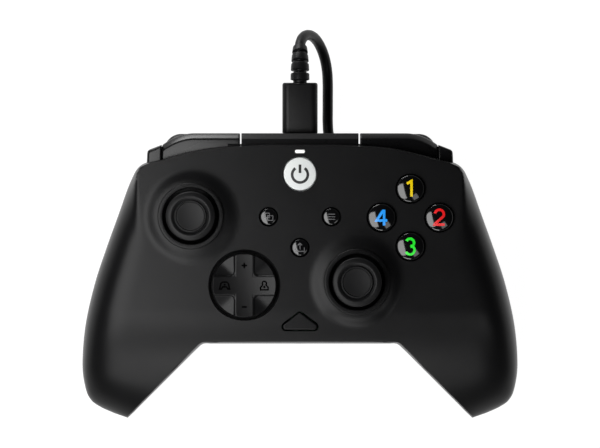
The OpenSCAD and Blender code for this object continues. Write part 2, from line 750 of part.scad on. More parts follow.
module trigger() difference() {
    union() {
        intersection() {
            along_x(trigger_in_x, trigger_out_x) trigger_profile();
            translate([0, 0, trigger_tip_z - 1]) linear_extrude(face_z)
                polygon([[trigger_in_x - 1, 0], [trigger_in_x - 1, back_y],
                    [trigger_out_x - trigger_corner, back_y],
                    [trigger_out_x - trigger_corner / 3, back_y - trigger_lip],
                    [trigger_out_x + 1, back_y - trigger_corner - trigger_lip], [trigger_out_x + 1, 0]]);
        }
        translate([0, axle_y, axle_z]) pin_x(trigger_hub_r, trigger_in_x, trigger_out_x - spring_w);
    }
    translate([0, axle_y, axle_z]) pin_x(axle_d / 2 + pin_gap, 0, body_w);
    translate([trigger_out_x - spring_w, axle_y - spring_room, axle_z - spring_room])
        cube([spring_w + 1, 2 * spring_room, 2 * spring_room]);
}

module left_trigger() color([0.1, 0.1, 0.11]) mirror([1, 0, 0]) trigger();
module right_trigger() color([0.1, 0.1, 0.11]) trigger();

module trigger_axles() color("silver") right_and_left() translate([0, axle_y, axle_z])
    pin_x(axle_d / 2, trigger_in_x - run_gap - arm_t, trigger_out_x + run_gap + arm_t);

module trigger_brackets() color("dimgray") right_and_left()
    for (x = [trigger_in_x - run_gap - arm_t, trigger_out_x + run_gap]) difference() {
        translate([x, arm_from_y, board_top]) cube([arm_t, arm_to_y - arm_from_y, arm_top_z - board_top]);
        translate([0, axle_y, axle_z]) pin_x(axle_d / 2 + seat_gap, x - 1, x + arm_t + 1);
    }

module trigger_spring() translate([0, axle_y, axle_z]) difference() {
    pin_x(axle_d / 2 + run_gap + spring_wire, trigger_out_x - spring_w + run_gap, trigger_out_x);
    pin_x(axle_d / 2 + run_gap, 0, body_w);
}

module left_trigger_spring() color("silver") mirror([1, 0, 0]) trigger_spring();
module right_trigger_spring() color("silver") trigger_spring();

// Sticks
module at_stick(i) {
    p = stick_sites()[i];
    translate([p.x, p.y, pivot_z]) children();
}

module stick_cap() {
    cap_low = pivot_depth + cap_lift;
    cap_high = cap_low + cap_h;
    groove_z = cap_high - groove_depth;
    neck_low = dome_r - dome_wall;
    difference() {
        union() {
            rotate_extrude() polygon(concat([[0, neck_low], [neck_d / 2, neck_low],
                [neck_d / 2, cap_low - neck_flare], [neck_d / 2 + neck_flare, cap_low]],
                [for (e = cap_edge_low) [cap_d / 2 - e[0], cap_low + e[1]]],
                [for (e = cap_edge_high) [cap_d / 2 - e[0], cap_high + e[1]]],
                [[groove_d / 2 + groove_side, cap_high - ring_h], [groove_d / 2, groove_z],
                [ring_d / 2 + groove_side, groove_z], [ring_d / 2, groove_z + ring_h],
                [ring_d / 2 - groove_side, groove_z], [dish_d / 2, groove_z],
                [dish_d / 2 - dish_side, groove_z - dish_side], [0, cap_high - dish_depth]]));
            rotate_extrude() polygon(concat([for (a = [0:4:dome_cover]) dome_r * [sin(a), cos(a)]],
                [for (a = [dome_cover:-4:0]) (dome_r - dome_wall) * [sin(a), cos(a)]]));
            translate([0, 0, hub_low]) cylinder(h = dome_r - dome_wall / 2 - hub_low, r = hub_r);
        }
        cylinder(h = shaft_high + click, r = shaft_d / 2 + pin_gap);
    }
}

module left_stick_cap() color([0.1, 0.1, 0.1]) at_stick(0) stick_cap();
module right_stick_cap() color([0.1, 0.1, 0.1]) at_stick(1) stick_cap();

module stick_shaft() {
    translate([0, 0, -shaft_low]) cylinder(h = shaft_low + shaft_high, r = shaft_d / 2);
    translate([0, 0, -shaft_low]) cylinder(h = shaft_foot_h, r = shaft_foot_r);
    pin_y(cross_pin_d / 2, -cradle_y, cradle_y);
}

module left_stick_shaft() color("silver") at_stick(0) stick_shaft();
module right_stick_shaft() color("silver") at_stick(1) stick_shaft();

module stick_cradle() difference() {
    union() {
        cube([2 * cradle_x, 2 * cradle_y, 2 * cradle_h], center = true);
        pin_x(stick_pin_d / 2, -base_out, base_out);
    }
    cube([2 * cradle_slot_x, 2 * cradle_slot_y, 4 * cradle_h], center = true);
    pin_y(cross_pin_d / 2 + pin_gap, -cradle_y - 1, cradle_y + 1);
}

module left_stick_cradle() color("white") at_stick(0) stick_cradle();
module right_stick_cradle() color("white") at_stick(1) stick_cradle();

module stick_yoke() {
    slot_x = shaft_d / 2 + run_gap;
    difference() {
        translate([-yoke_half_w, -yoke_out, yoke_low])
            cube([2 * yoke_half_w, 2 * yoke_out, yoke_high - yoke_low]);
        translate([-slot_x, -yoke_slot_y, 0]) cube([2 * slot_x, 2 * yoke_slot_y, 2 * yoke_high]);
    }
    for (s = [0, 180]) rotate(s) {
        translate([-yoke_half_w, yoke_in, -cradle_h])
            cube([2 * yoke_half_w, yoke_out - yoke_in, yoke_low + cradle_h]);
        pin_y(stick_pin_d / 2, yoke_in, base_out);
    }
}

module left_stick_yoke() color("white") at_stick(0) stick_yoke();
module right_stick_yoke() color("white") at_stick(1) stick_yoke();

module stick_base() difference() {
    union() {
        translate([-base_out, -base_out, -base_drop]) cube([2 * base_out, 2 * base_out, base_floor]);
        for (a = [0:90:270]) rotate(a) translate([base_wall_in, -base_half_w, -base_drop])
            cube([base_wall, 2 * base_half_w, base_drop + base_up]);
    }
    pin_x(stick_pin_d / 2 + pin_gap, -base_out - 1, base_out + 1);
    pin_y(stick_pin_d / 2 + pin_gap, -base_out - 1, base_out + 1);
}

module left_stick_base() color("gray") at_stick(0) stick_base();
module right_stick_base() color("gray") at_stick(1) stick_base();

module stick_spring() translate([0, 0, base_floor - base_drop]) difference() {
    cylinder(h = base_drop - base_floor - shaft_low - spring_gap, r = spring_out);
    translate([0, 0, -1]) cylinder(h = base_drop, r = spring_in);
}

module left_stick_spring() color("silver") at_stick(0) stick_spring();
module right_stick_spring() color("silver") at_stick(1) stick_spring();

module stick_sensors() color("darkgreen") for (i = [0, 1], a = [0, 90]) at_stick(i) rotate(a)
    translate([base_out, -base_half_w, -base_drop]) cube([sensor_t, 2 * base_half_w, base_drop + sensor_up]);

// Direction pad
module direction_pad() color([0.12, 0.12, 0.13]) translate([pad_x, pad_y, 0]) {
    rim_z = face_z + pad_rim_h;
    pad_r = pad_d / 2;
    rotate_extrude() polygon([[0, pad_skirt_low], [pad_skirt_r, pad_skirt_low],
        [pad_skirt_r, pad_skirt_low + pad_skirt_h], [pad_core_r, pad_skirt_low + pad_skirt_h + pad_bevel],
        [pad_core_r, inner_z], [pad_r, inner_z + pad_bevel], [pad_r, rim_z - pad_bevel],
        [pad_r - pad_bevel, rim_z], [pad_r - pad_rim_w, rim_z - pad_bevel / 2],
        [arm_w / 2, face_z + pad_dish_h], [0, face_z + pad_dish_h]]);
    intersection() {
        rod([0, 0], pad_r - pad_bevel / 2, inner_z, face_z + arm_h);
        for (a = [0, 90]) rotate(a) translate([-arm_w / 2, -pad_d / 2, inner_z])
            cube([arm_w, pad_d, face_z]);
    }
    difference() {
        for (s = [0, 180]) rotate(s) translate([-pad_ear_half_w, pad_ear_in, pad_pivot_z - pad_ear_drop])
            cube([2 * pad_ear_half_w, pad_ear_out - pad_ear_in,
                pad_skirt_low + pad_skirt_h / 2 - pad_pivot_z + pad_ear_drop]);
        translate([0, 0, pad_pivot_z]) pin_y(pad_pin_r + pin_gap, -pad_d, pad_d);
    }
}

module pad_pivot() color("white") translate([pad_x, pad_y, pad_pivot_z]) {
    cube([2 * pad_block, 2 * pad_block, 2 * pad_pin_r + 2 * pad_bevel], center = true);
    pin_x(pad_pin_r, -pad_ear_out, pad_ear_out);
    pin_y(pad_pin_r, -pad_ear_out, pad_ear_out);
}

module pad_post() color("dimgray") translate([pad_x, pad_y, 0]) difference() {
    union() {
        translate([-pad_ear_out, -pad_ear_half_w, board_top])
            cube([2 * pad_ear_out, 2 * pad_ear_half_w, pad_foot_h]);
        for (s = [0, 180]) rotate(s) translate([pad_ear_in, -pad_ear_half_w, board_top])
            cube([pad_ear_out - pad_ear_in, 2 * pad_ear_half_w, pad_pivot_z + pad_ear_drop - board_top]);
    }
    translate([0, 0, pad_pivot_z]) pin_x(pad_pin_r + pin_gap, -pad_d, pad_d);
}

// Buttons
module domed_button(p, d, crown, stem, low) {
    rise = crown * crown_share;
    bend = (d * d / 4 + rise * rise) / (2 * rise);
    rod(p, d / 2, flange_top - flange_h, face_z + crown - rise);
    intersection() {
        translate([p.x, p.y, face_z + crown - bend]) sphere(bend);
        rod(p, d / 2, face_z + crown - rise - 0.01, face_z + crown + 1);
    }
    rod(p, d / 2 + flange_w, flange_top - flange_h, flange_top);
    rod(p, stem, low, flange_top);
}

module face_button(a) domed_button(cluster_site(a), face_button_d, face_button_h, stem_r, stem_low);
module small_button(i) domed_button(small_sites[i], small_d, small_h, small_stem_r, small_stem_low);

module top_button() color([0.75, 0.65, 0.1]) face_button(cluster_angles[0]);
module left_button() color([0.1, 0.3, 0.7]) face_button(cluster_angles[1]);
module right_button() color([0.7, 0.15, 0.15]) face_button(cluster_angles[2]);
module bottom_button() color([0.2, 0.55, 0.15]) face_button(cluster_angles[3]);
module view_button() color([0.1, 0.1, 0.1]) small_button(0);
module menu_button() color([0.1, 0.1, 0.1]) small_button(1);
module share_button() color([0.1, 0.1, 0.1]) small_button(2);
module home_button() color([0.76, 0.77, 0.77])
    domed_button(home_site, home_d, small_h, small_stem_r, small_stem_low);

module function_button() color([0.14, 0.14, 0.15]) {
    translate([0, 0, func_flange_top - flange_h]) {
        linear_extrude(face_z + small_h / 2 - func_flange_top + flange_h) func_profile(0);
        linear_extrude(flange_h) func_profile(flange_w);
    }
    rod(func_site, small_stem_r, small_stem_low, func_flange_top);
}

module indicator_lens() color("white") translate([0, lens_y, pocket_z])
    linear_extrude(face_z - pocket_z + 0.05) lens_profile(0);

// Board and what is on it
module main_board() color("darkgreen") difference() {
    half = [[27, board_back_y], [27, board_wing_y], [50, board_wing_y], [50, 2], [42, -8], [42, -20.5]];
    translate([0, 0, board_low]) linear_extrude(board_t)
        polygon(concat(half, [for (i = [len(half) - 1:-1:0]) [-half[i].x, half[i].y]]));
    for (s = screw_sites) rod(s, seat_post_r, 0, face_z);
    for (p = board_sites) rod(p, board_screw_d / 2 + seat_gap, 0, face_z);
}

module board_screws() color("silver") for (p = board_sites) {
    rod(p, board_screw_d / 2, board_top - board_screw_len, board_top + 0.1);
    rod(p, board_head_r, board_top, board_top + screw_head_h);
}

module button_membrane() color([0.3, 0.3, 0.32]) {
    sites = [for (a = cluster_angles) cluster_site(a)];
    for (p = sites) rod(p, stem_r + run_gap, board_top, board_top + membrane_h);
    for (a = [45, 135]) translate([cluster_x, cluster_y, board_top + membrane_t / 2]) rotate(a)
        cube([2 * cluster_pitch, 1.5 * cluster_pitch, membrane_t], center = true);
}

module press_switches() color("black") for (p = concat(small_sites, [home_site, func_site]))
    translate([p.x - switch_w / 2, p.y - switch_w / 2, board_top]) cube([switch_w, switch_w, switch_h]);

module cable_socket() color("silver") difference() {
    union() {
        translate([0, 0, usb_z]) along_y(socket_front_y - socket_len, socket_front_y)
            rounded_box_profile(socket_w, socket_h, socket_h / 2 - 0.01);
        translate([-socket_w / 2 + 1, socket_front_y - socket_len, board_top])
            cube([socket_w - 2, board_back_y - socket_front_y + socket_len - 0.2, usb_z - board_top]);
    }
    translate([0, 0, usb_z]) along_y(socket_front_y - socket_depth, socket_front_y + 1)
        rounded_box_profile(socket_w - 2 * socket_wall, socket_h - 2 * socket_wall,
            socket_h / 2 - socket_wall - 0.01);
}

module headset_socket() color([0.2, 0.2, 0.2]) translate([0, outline[half_n][3], split_z]) difference() {
    pin_y(jack_body_r, 0, jack_len);
    pin_y(jack_r, -1, jack_len - 1);
}

module rumble_motor() translate([motor_x, 0, motor_z]) difference() {
    pin_y(motor_r, motor_from_y, motor_from_y + motor_len);
    pin_y(spindle_r + pin_gap, motor_from_y - 1, motor_from_y + spindle_in + run_gap);
}

module rumble_weight() translate([motor_x, 0, motor_z]) {
    pin_y(spindle_r, motor_from_y - weight_gap - weight_t, motor_from_y + spindle_in);
    difference() {
        pin_y(weight_r, motor_from_y - weight_gap - weight_t, motor_from_y - weight_gap);
        translate([-weight_r - 1, motor_from_y - weight_gap - weight_t - 1, spindle_r])
            cube([2 * weight_r + 2, weight_t + 2, weight_r]);
    }
}

module left_rumble_motor() color("silver") mirror([1, 0, 0]) rumble_motor();
module right_rumble_motor() color("silver") rumble_motor();
module left_rumble_weight() color("gray") mirror([1, 0, 0]) rumble_weight();
module right_rumble_weight() color("gray") rumble_weight();

module shell_screws() color("dimgray") for (s = screw_sites) {
    rod(s, screw_d / 2, s[2] - 0.1, s[2] + screw_len);
    rod(s, screw_head_d / 2, s[2] - screw_head_h, s[2]);
}

// Cable
module cable_plug() color([0.1, 0.1, 0.1]) translate([0, 0, usb_z])
    along_y(back_y, plug_end_y) rounded_box_profile(plug_w, plug_h, plug_round);

module cable_plug_tongue() color("silver") translate([0, 0, usb_z])
    along_y(tongue_end_y, back_y) rounded_box_profile(tongue_w, tongue_h, tongue_h / 2 - 0.01);

function boot_dir(a) = [0, cos(a), -sin(a)];
function boot_at(a) = [0, plug_end_y + boot_bend_r * sin(a), usb_z - boot_bend_r * (1 - cos(a))];
function boot_radius(i) = let (n = boot_ribs * boot_rings, f = i / n)
    mix(boot_d / 2, cable_d / 2 + 0.7, f * f) - (i % boot_rings == 1 && i < n ? boot_notch : 0);

module bend_relief() color([0.1, 0.1, 0.1]) {
    n = boot_ribs * boot_rings;
    skin([for (i = [0:n]) let (a = boot_bend * i / n)
        tube_ring(boot_at(a), boot_dir(a), [1, 0, 0], boot_radius(i), boot_sides)]);
}

cable_path = fine_path(cable_route, cable_steps);
tail_path = fine_path(tail_route, cable_steps);

module cable() color([0.1, 0.1, 0.1])
    tube(cable_path, boot_dir(boot_bend), [0, -1, 0], [1, 0, 0], cable_sides);

module cable_tail() color([0.1, 0.1, 0.1]) tube(tail_path, [-1, 0, 0], [0, 1, 0], [0, 0, 1], cable_sides);

// The coil winds clockwise: in, out, in and out again, and climbs a layer where it reverses
function coil_at(n) = let (
    layer = min(coil_layers - 1, floor(n / layer_turns)),
    into = n - layer * layer_turns,
    r = coil_r - coil_pitch * (layer % 2 == 0 ? into : layer_turns - into),
    climb = [for (i = [1:coil_layers - 1]) ease(i * layer_turns - 0.25, i * layer_turns + 0.25, n)]
        * [for (i = [1:coil_layers - 1]) 1])
    [coil_x + r * cos(360 * n), coil_y - r * sin(360 * n), coil_z + coil_pitch * climb];
coil_path = concat([coil_start], [for (i = [0:coil_turns * coil_rings]) coil_at(i / coil_rings)], [coil_end]);

module cable_coil() color([0.1, 0.1, 0.1]) {
    n = len(coil_path);
    apart = coil_rings / 2;
    nearest = min([for (i = [0:n - apart - 1], j = [i + apart:n - 1]) norm(coil_path[i] - coil_path[j])]);
    echo(coil_gap = nearest - cable_d, coil_length = path_len(coil_path));
    echo(cord_length = path_len(cable_path) + path_len(coil_path) + path_len(tail_path));
    tube(coil_path, [0, -1, 0], [-1, 0, 0], [0, 0, 1], coil_sides);
}

module cable_tie() color([0.05, 0.05, 0.05]) {
    inner_r = coil_r - layer_turns * coil_pitch - cable_d / 2 - run_gap;
    outer_r = coil_r + cable_d / 2 + run_gap;
    tall = (coil_layers - 1) * coil_pitch + cable_d + 2 * run_gap;
    middle = [(inner_r + outer_r) / 2, 0, tie_low + tie_t + tall / 2];
    translate([coil_x, coil_y, 0]) rotate(tie_angle) translate(middle)
        along_y(-tie_w / 2, tie_w / 2) difference() {
            rounded_box_profile(outer_r - inner_r + 2 * tie_t, tall + 2 * tie_t, tie_round);
            rounded_box_profile(outer_r - inner_r, tall, tie_round - tie_t);
        }
}

module host_plug() color([0.1, 0.1, 0.1]) translate([host_x, 0, host_z])
    along_y(host_y, host_y + host_len) rounded_box_profile(host_w, host_h, host_round);

module host_plug_shell() color("silver") translate([host_x, 0, host_z])
    along_y(host_y + host_len, host_y + host_len + host_shell_len) difference() {
        square([host_shell_w, host_shell_h], center = true);
        translate([0, -0.5]) square([host_shell_w - 1, host_shell_h / 2 - 0.2], center = true);
    }

front_shell();
rear_shell();
top_bridge();
shoulder_caps();
left_bumper();
right_bumper();
left_trigger();
right_trigger();
trigger_axles();
trigger_brackets();
left_trigger_spring();
right_trigger_spring();
left_stick_cap();
right_stick_cap();
left_stick_shaft();
right_stick_shaft();
left_stick_cradle();
right_stick_cradle();
left_stick_yoke();
right_stick_yoke();
left_stick_base();
right_stick_base();
left_stick_spring();
right_stick_spring();
stick_sensors();
direction_pad();
pad_pivot();
pad_post();
top_button();
left_button();
right_button();
bottom_button();
view_button();
menu_button();
share_button();
home_button();
function_button();
indicator_lens();
main_board();
board_screws();
button_membrane();
press_switches();
left_rumble_motor();
right_rumble_motor();
left_rumble_weight();
right_rumble_weight();
cable_socket();
headset_socket();
shell_screws();
cable_plug();
cable_plug_tongue();
bend_relief();
cable();
cable_coil();
cable_tie();
cable_tail();
host_plug();
host_plug_shell();
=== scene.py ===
"""Looks of a wired gamepad controller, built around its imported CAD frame."""
import math

import bmesh
import bpy
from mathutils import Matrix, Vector


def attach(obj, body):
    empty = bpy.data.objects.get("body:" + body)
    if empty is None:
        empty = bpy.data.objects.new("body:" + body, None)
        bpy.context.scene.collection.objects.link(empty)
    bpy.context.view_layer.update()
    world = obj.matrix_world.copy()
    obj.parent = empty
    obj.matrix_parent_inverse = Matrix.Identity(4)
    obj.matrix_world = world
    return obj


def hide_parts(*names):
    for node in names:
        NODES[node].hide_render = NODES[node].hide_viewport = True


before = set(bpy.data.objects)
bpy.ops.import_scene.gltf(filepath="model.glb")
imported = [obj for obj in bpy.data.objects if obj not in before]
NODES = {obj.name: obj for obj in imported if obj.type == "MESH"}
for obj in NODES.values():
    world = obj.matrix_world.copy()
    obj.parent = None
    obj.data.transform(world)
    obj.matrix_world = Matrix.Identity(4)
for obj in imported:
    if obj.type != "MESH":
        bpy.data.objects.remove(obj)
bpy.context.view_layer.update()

MM = 0.001
MM_PER_M = 1000.0
MERGE_M = 1e-7
scene = bpy.context.scene
scene.view_settings.view_transform = "Standard"

# Sizes in millimetres, as in the CAD
SPLIT_Z = 26
FACE_Z = 48
BELLY_Z = 22
BACK_Y = 50
FRONT_Y = -23.9
POCKET_Z = 44.5
EDGE_TOP_Z = 44.2
PIVOT_Z = 39
LEFT_STICK = (-38.3, 20.9)
RIGHT_STICK = (20, -2.2)
PAD = (-19.5, -3.4)
CLUSTER = (38.7, 20.4)
CLUSTER_PITCH = 10.1
SMALL = {"view": (-11, 20.7), "menu": (11, 20.7), "share": (0, 9.9)}
HOME = (0, 35.7)
CABLE_D = 3.7
USB_Z = 36
PLUG_END_Y = 67.4
BOOT_BEND_R = 19.6
BOOT_BEND = 40
COIL = (5, 10)
COIL_R = 30
COIL_PITCH = 4.3
COIL_TURNS = 17.25
COIL_LAYERS = 4
COIL_Z = 3.05
HOST = (-37, -3, 4.3)

# The photograph: millimetres per pixel, width in pixels and the object point at its middle. The lens is so
# long that the view has almost no perspective
PHOTO_SCALE = 0.351
PHOTO_W = 600
PHOTO_MID = (0, 18.16, 38)
LENS_MM = 900
SENSOR_MM = 36
CLIP_END_M = 50


# Small helpers

def mix(a, b, t):
    return a + (b - a) * t


def clamp01(t):
    return min(1.0, max(0.0, t))


def ease(a, b, v):
    t = clamp01((v - a) / (b - a))
    return t * t * (3 - 2 * t)


def spline(points, u):
    """Catmull-Rom curve through lists of numbers."""
    n = len(points) - 1
    i = min(n - 1, int(math.floor(u)))
    t = u - i
    b, c = points[i], points[i + 1]
    a = points[i - 1] if i > 0 else [2 * p - q for p, q in zip(b, c)]
    d = points[i + 2] if i + 1 < n else [2 * q - p for p, q in zip(b, c)]
    return [
        (2 * q + (r - p) * t + (2 * p - 5 * q + 4 * r - s) * t * t + (3 * q - p - 3 * r + s) * t ** 3) / 2
        for p, q, r, s in zip(a, b, c, d)
    ]


def add_mesh(name, points, faces, material, body, slot=None, sharp=35, offset=(0, 0, 0)):
    """A mesh piece from points in millimetres, smooth but for edges sharper than an angle."""
    mesh = bpy.data.meshes.new(name)
    mesh.from_pydata([[(p[i] + offset[i]) * MM for i in range(3)] for p in points], [], faces)
    mesh.validate()
    finish_mesh(mesh, sharp)
    obj = bpy.data.objects.new(name, mesh)
    scene.collection.objects.link(obj)
    mesh.materials.append(material)
    if body:
        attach(obj, body)
    return obj


def finish_mesh(mesh, sharp):
    """Merges doubles, turns faces outward and smooths all but the sharp edges."""
    bm = bmesh.new()
    bm.from_mesh(mesh)
    bmesh.ops.remove_doubles(bm, verts=bm.verts, dist=MERGE_M)
    bmesh.ops.recalc_face_normals(bm, faces=bm.faces)
    bm.to_mesh(mesh)
    bm.free()
    mesh.polygons.foreach_set("use_smooth", [True] * len(mesh.polygons))
    mesh.set_sharp_from_angle(angle=math.radians(sharp))
    mesh.update()


def circle(r, sides, turn=0):
    """Plan points round a circle, turned by a share of a step."""
    angles = [2 * math.pi * (k + turn) / sides for k in range(sides)]
    return [(r * math.cos(a), r * math.sin(a)) for a in angles]


def lathe(profile, sides=96):
    """Points and faces of a profile of (radius, height) turned about Z; ends on the axis are closed."""
    points, faces, rows = [], [], []
    for r, z in profile:
        if r < 1e-6:
            rows.append([len(points)])
            points.append((0, 0, z))
        else:
            rows.append(list(range(len(points), len(points) + sides)))
            points += [(x, y, z) for x, y in circle(r, sides)]
    for a, b in zip(rows, rows[1:]):
        for k in range(sides):
            m = (k + 1) % sides
            if len(a) == 1 and len(b) == 1:
                continue
            if len(a) == 1:
                faces.append((a[0], b[k], b[m]))
            elif len(b) == 1:
                faces.append((a[k], b[0], a[m]))
            else:
                faces.append((a[k], b[k], b[m], a[m]))
    return points, faces


def loft(rings, capped=True):
    """Points and faces of a solid through rings with the same number of points."""
    n = len(rings[0])
    points = [p for ring in rings for p in ring]
    faces = [
        (i * n + j, (i + 1) * n + j, (i + 1) * n + (j + 1) % n, i * n + (j + 1) % n)
        for i in range(len(rings) - 1)
        for j in range(n)
    ]
    if capped:
        faces += [tuple(range(n)), tuple(range((len(rings) - 1) * n, len(rings) * n))]
    return points, faces


def rounded_rect(w, h, r, steps=6):
    """A rounded rectangle about the origin."""
    ring = []
    for k, (sx, sy) in enumerate(((1, 1), (-1, 1), (-1, -1), (1, -1))):
        for i in range(steps + 1):
            a = math.radians(90 * k + 90 * i / steps)
            ring.append((sx * (w / 2 - r) + r * math.cos(a), sy * (h / 2 - r) + r * math.sin(a)))
    return ring


def joined(*parts):
    """Several (points, faces) pairs as one."""
    points, faces = [], []
    for p, f in parts:
        base = len(points)
        points += list(p)
        faces += [tuple(i + base for i in face) for face in f]
    return points, faces


# Camera: straight down on the face, with a long lens

camera_data = bpy.data.cameras.new("camera")
camera = bpy.data.objects.new("camera", camera_data)
scene.collection.objects.link(camera)
scene.camera = camera
camera_data.lens = LENS_MM
camera_data.sensor_width = SENSOR_MM
camera_data.clip_end = CLIP_END_M
camera_far = LENS_MM / SENSOR_MM * PHOTO_W * PHOTO_SCALE * MM
camera.location = (PHOTO_MID[0] * MM, PHOTO_MID[1] * MM, PHOTO_MID[2] * MM + camera_far)


# Materials

MOTTLE_SCALE, MOTTLE_DETAIL, GLOSS_VARY = 90.0, 3.0, 0.1
WEAR_FROM, WEAR_TO = 0.52, 0.66
GRAIN_DETAIL, GRAIN_DEPTH = 2.0, 0.2
ROLLED_SCALE, ROLLED_DETAIL, ROLLED_STRETCH = 220.0, 4.0, (1, 1, 30)
METAL_DARK, METAL_LIGHT, METAL_GLOSS_VARY = 0.85, 1.1, 0.25


def new_material(name):
    material = bpy.data.materials.new(name)
    material.use_nodes = True
    tree = material.node_tree
    return material, tree, tree.nodes["Principled BSDF"]


def node(tree, kind, **inputs):
    """A shader node with values for its inputs, whose names have underscores for spaces."""
    made = tree.nodes.new(kind)
    for key, value in inputs.items():
        made.inputs[key.replace("_", " ")].default_value = value
    return made


def plastic(name, color, rough, grain=0.0, grain_size=0.25, vary=0.12, specular=0.5, wear=0.0):
    """Moulded plastic: faint mottling in colour and gloss, a fine grain, and paler rubbed edges."""
    material, tree, shader = new_material(name)
    link = tree.links.new
    place = node(tree, "ShaderNodeTexCoord")
    mottle = node(tree, "ShaderNodeTexNoise", Scale=MOTTLE_SCALE, Detail=MOTTLE_DETAIL)
    link(place.outputs["Object"], mottle.inputs["Vector"])
    ramp = node(tree, "ShaderNodeValToRGB")
    ramp.color_ramp.elements[0].color = [c * (1 - vary) for c in color] + [1]
    ramp.color_ramp.elements[1].color = [c * (1 + vary) for c in color] + [1]
    link(mottle.outputs["Fac"], ramp.inputs["Fac"])
    base = ramp.outputs["Color"]
    if wear:
        geometry = node(tree, "ShaderNodeNewGeometry")
        edges = node(tree, "ShaderNodeValToRGB")
        edges.color_ramp.elements[0].position = WEAR_FROM
        edges.color_ramp.elements[1].position = WEAR_TO
        edges.color_ramp.elements[1].color = (wear, wear, wear, 1)
        link(geometry.outputs["Pointiness"], edges.inputs["Fac"])
        worn = node(tree, "ShaderNodeMixRGB", Fac=1)
        worn.blend_type = "ADD"
        link(base, worn.inputs["Color1"])
        link(edges.outputs["Color"], worn.inputs["Color2"])
        base = worn.outputs["Color"]
    link(base, shader.inputs["Base Color"])
    gloss = node(tree, "ShaderNodeMapRange", To_Min=rough * (1 - GLOSS_VARY),
                 To_Max=min(1, rough * (1 + GLOSS_VARY)))
    link(mottle.outputs["Fac"], gloss.inputs["Value"])
    link(gloss.outputs["Result"], shader.inputs["Roughness"])
    shader.inputs["Specular IOR Level"].default_value = specular
    if grain:
        fine_noise = node(tree, "ShaderNodeTexNoise", Scale=MM_PER_M / grain_size, Detail=GRAIN_DETAIL)
        link(place.outputs["Object"], fine_noise.inputs["Vector"])
        bump = node(tree, "ShaderNodeBump", Strength=grain, Distance=grain_size * GRAIN_DEPTH * MM)
        link(fine_noise.outputs["Fac"], bump.inputs["Height"])
        link(bump.outputs["Normal"], shader.inputs["Normal"])
    return material


def metal(name, color, rough):
    """Plated metal with fine rolling marks."""
    material, tree, shader = new_material(name)
    link = tree.links.new
    place = node(tree, "ShaderNodeTexCoord")
    stretch = node(tree, "ShaderNodeMapping", Scale=ROLLED_STRETCH)
    link(place.outputs["Object"], stretch.inputs["Vector"])
    marks = node(tree, "ShaderNodeTexNoise", Scale=ROLLED_SCALE, Detail=ROLLED_DETAIL)
    link(stretch.outputs["Vector"], marks.inputs["Vector"])
    ramp = node(tree, "ShaderNodeValToRGB")
    ramp.color_ramp.elements[0].color = [c * METAL_DARK for c in color] + [1]
    ramp.color_ramp.elements[1].color = [min(1, c * METAL_LIGHT) for c in color] + [1]
    link(marks.outputs["Fac"], ramp.inputs["Fac"])
    link(ramp.outputs["Color"], shader.inputs["Base Color"])
    gloss = node(tree, "ShaderNodeMapRange", To_Min=rough * (1 - METAL_GLOSS_VARY),
                 To_Max=rough * (1 + METAL_GLOSS_VARY))
    link(marks.outputs["Fac"], gloss.inputs["Value"])
    link(gloss.outputs["Result"], shader.inputs["Roughness"])
    shader.inputs["Metallic"].default_value = 1
    return material


# Name, colour and roughness of each; grain sizes in millimetres
BLACK = (0.0035, 0.0035, 0.0038)
EDGE_BLACK = (0.004, 0.004, 0.0044)
PLUG_BLACK = (0.004, 0.004, 0.0043)
SHELL = plastic("shell_plastic", BLACK, 0.36, grain=0.3, grain_size=0.22, specular=0.15, wear=0.002)
EDGE = plastic("edge_plastic", EDGE_BLACK, 0.28, vary=0.08, specular=0.25, wear=0.003)
BRIDGE = plastic("bridge_plastic", EDGE_BLACK, 0.28, vary=0.08, specular=0.13, wear=0.003)
TRIGGER = plastic("trigger_plastic", EDGE_BLACK, 0.38, grain=0.25, grain_size=0.3, specular=0.2, wear=0.002)
RUBBER = plastic("stick_rubber", BLACK, 0.43, grain=0.25, grain_size=0.15, specular=0.17, wear=0.002)
PAD_PLASTIC = plastic("pad_plastic", BLACK, 0.32, grain=0.12, grain_size=0.3, specular=0.16, wear=0.002)
GLOSS = plastic("button_gloss", (0.003, 0.003, 0.0033), 0.09, vary=0.1, specular=0.5)
HOME_GREY = plastic("home_grey", (0.66, 0.68, 0.67), 0.45, grain=0.08, grain_size=0.3, vary=0.03)
CABLE = plastic("cable_sheath", BLACK, 0.42, grain=0.25, grain_size=0.35, specular=0.18)
PLUG = plastic("plug_moulding", PLUG_BLACK, 0.4, grain=0.3, grain_size=0.3, specular=0.17, wear=0.002)
INNER = plastic("inner_plastic", (0.03, 0.03, 0.032), 0.55, grain=0.2, grain_size=0.5)
BOARD = plastic("board_mask", (0.012, 0.09, 0.035), 0.35, grain=0.2, grain_size=0.9, vary=0.25)
MEMBRANE = plastic("membrane_rubber", (0.14, 0.14, 0.145), 0.7, grain=0.3, grain_size=0.4)
STEEL = metal("bright_steel", (0.62, 0.62, 0.63), 0.28)
BRASS = metal("sintered_brass", (0.55, 0.43, 0.24), 0.45)
DARK = plastic("dark_print", (0.008, 0.008, 0.008), 0.5, vary=0.2)
MARK_INK = plastic("mark_ink", (0.0005, 0.0005, 0.0005), 0.7, vary=0.1, specular=0.0)
PALE_PRINT = plastic("pale_print", (0.075, 0.075, 0.078), 0.4, vary=0.1)
LENS = plastic("lens_frost", (0.92, 0.92, 0.9), 0.4, grain=0.1, grain_size=0.2, vary=0.02)
INK_COLORS = {
    "top": ("ink_yellow", (0.86, 0.62, 0.0)),
    "left": ("ink_blue", (0.02, 0.33, 0.95)),
    "right": ("ink_red", (0.8, 0.012, 0.014)),
    "bottom": ("ink_green", (0.02, 0.8, 0.03)),
}
INKS = {place: plastic(ink, color, 0.32, vary=0.06) for place, (ink, color) in INK_COLORS.items()}


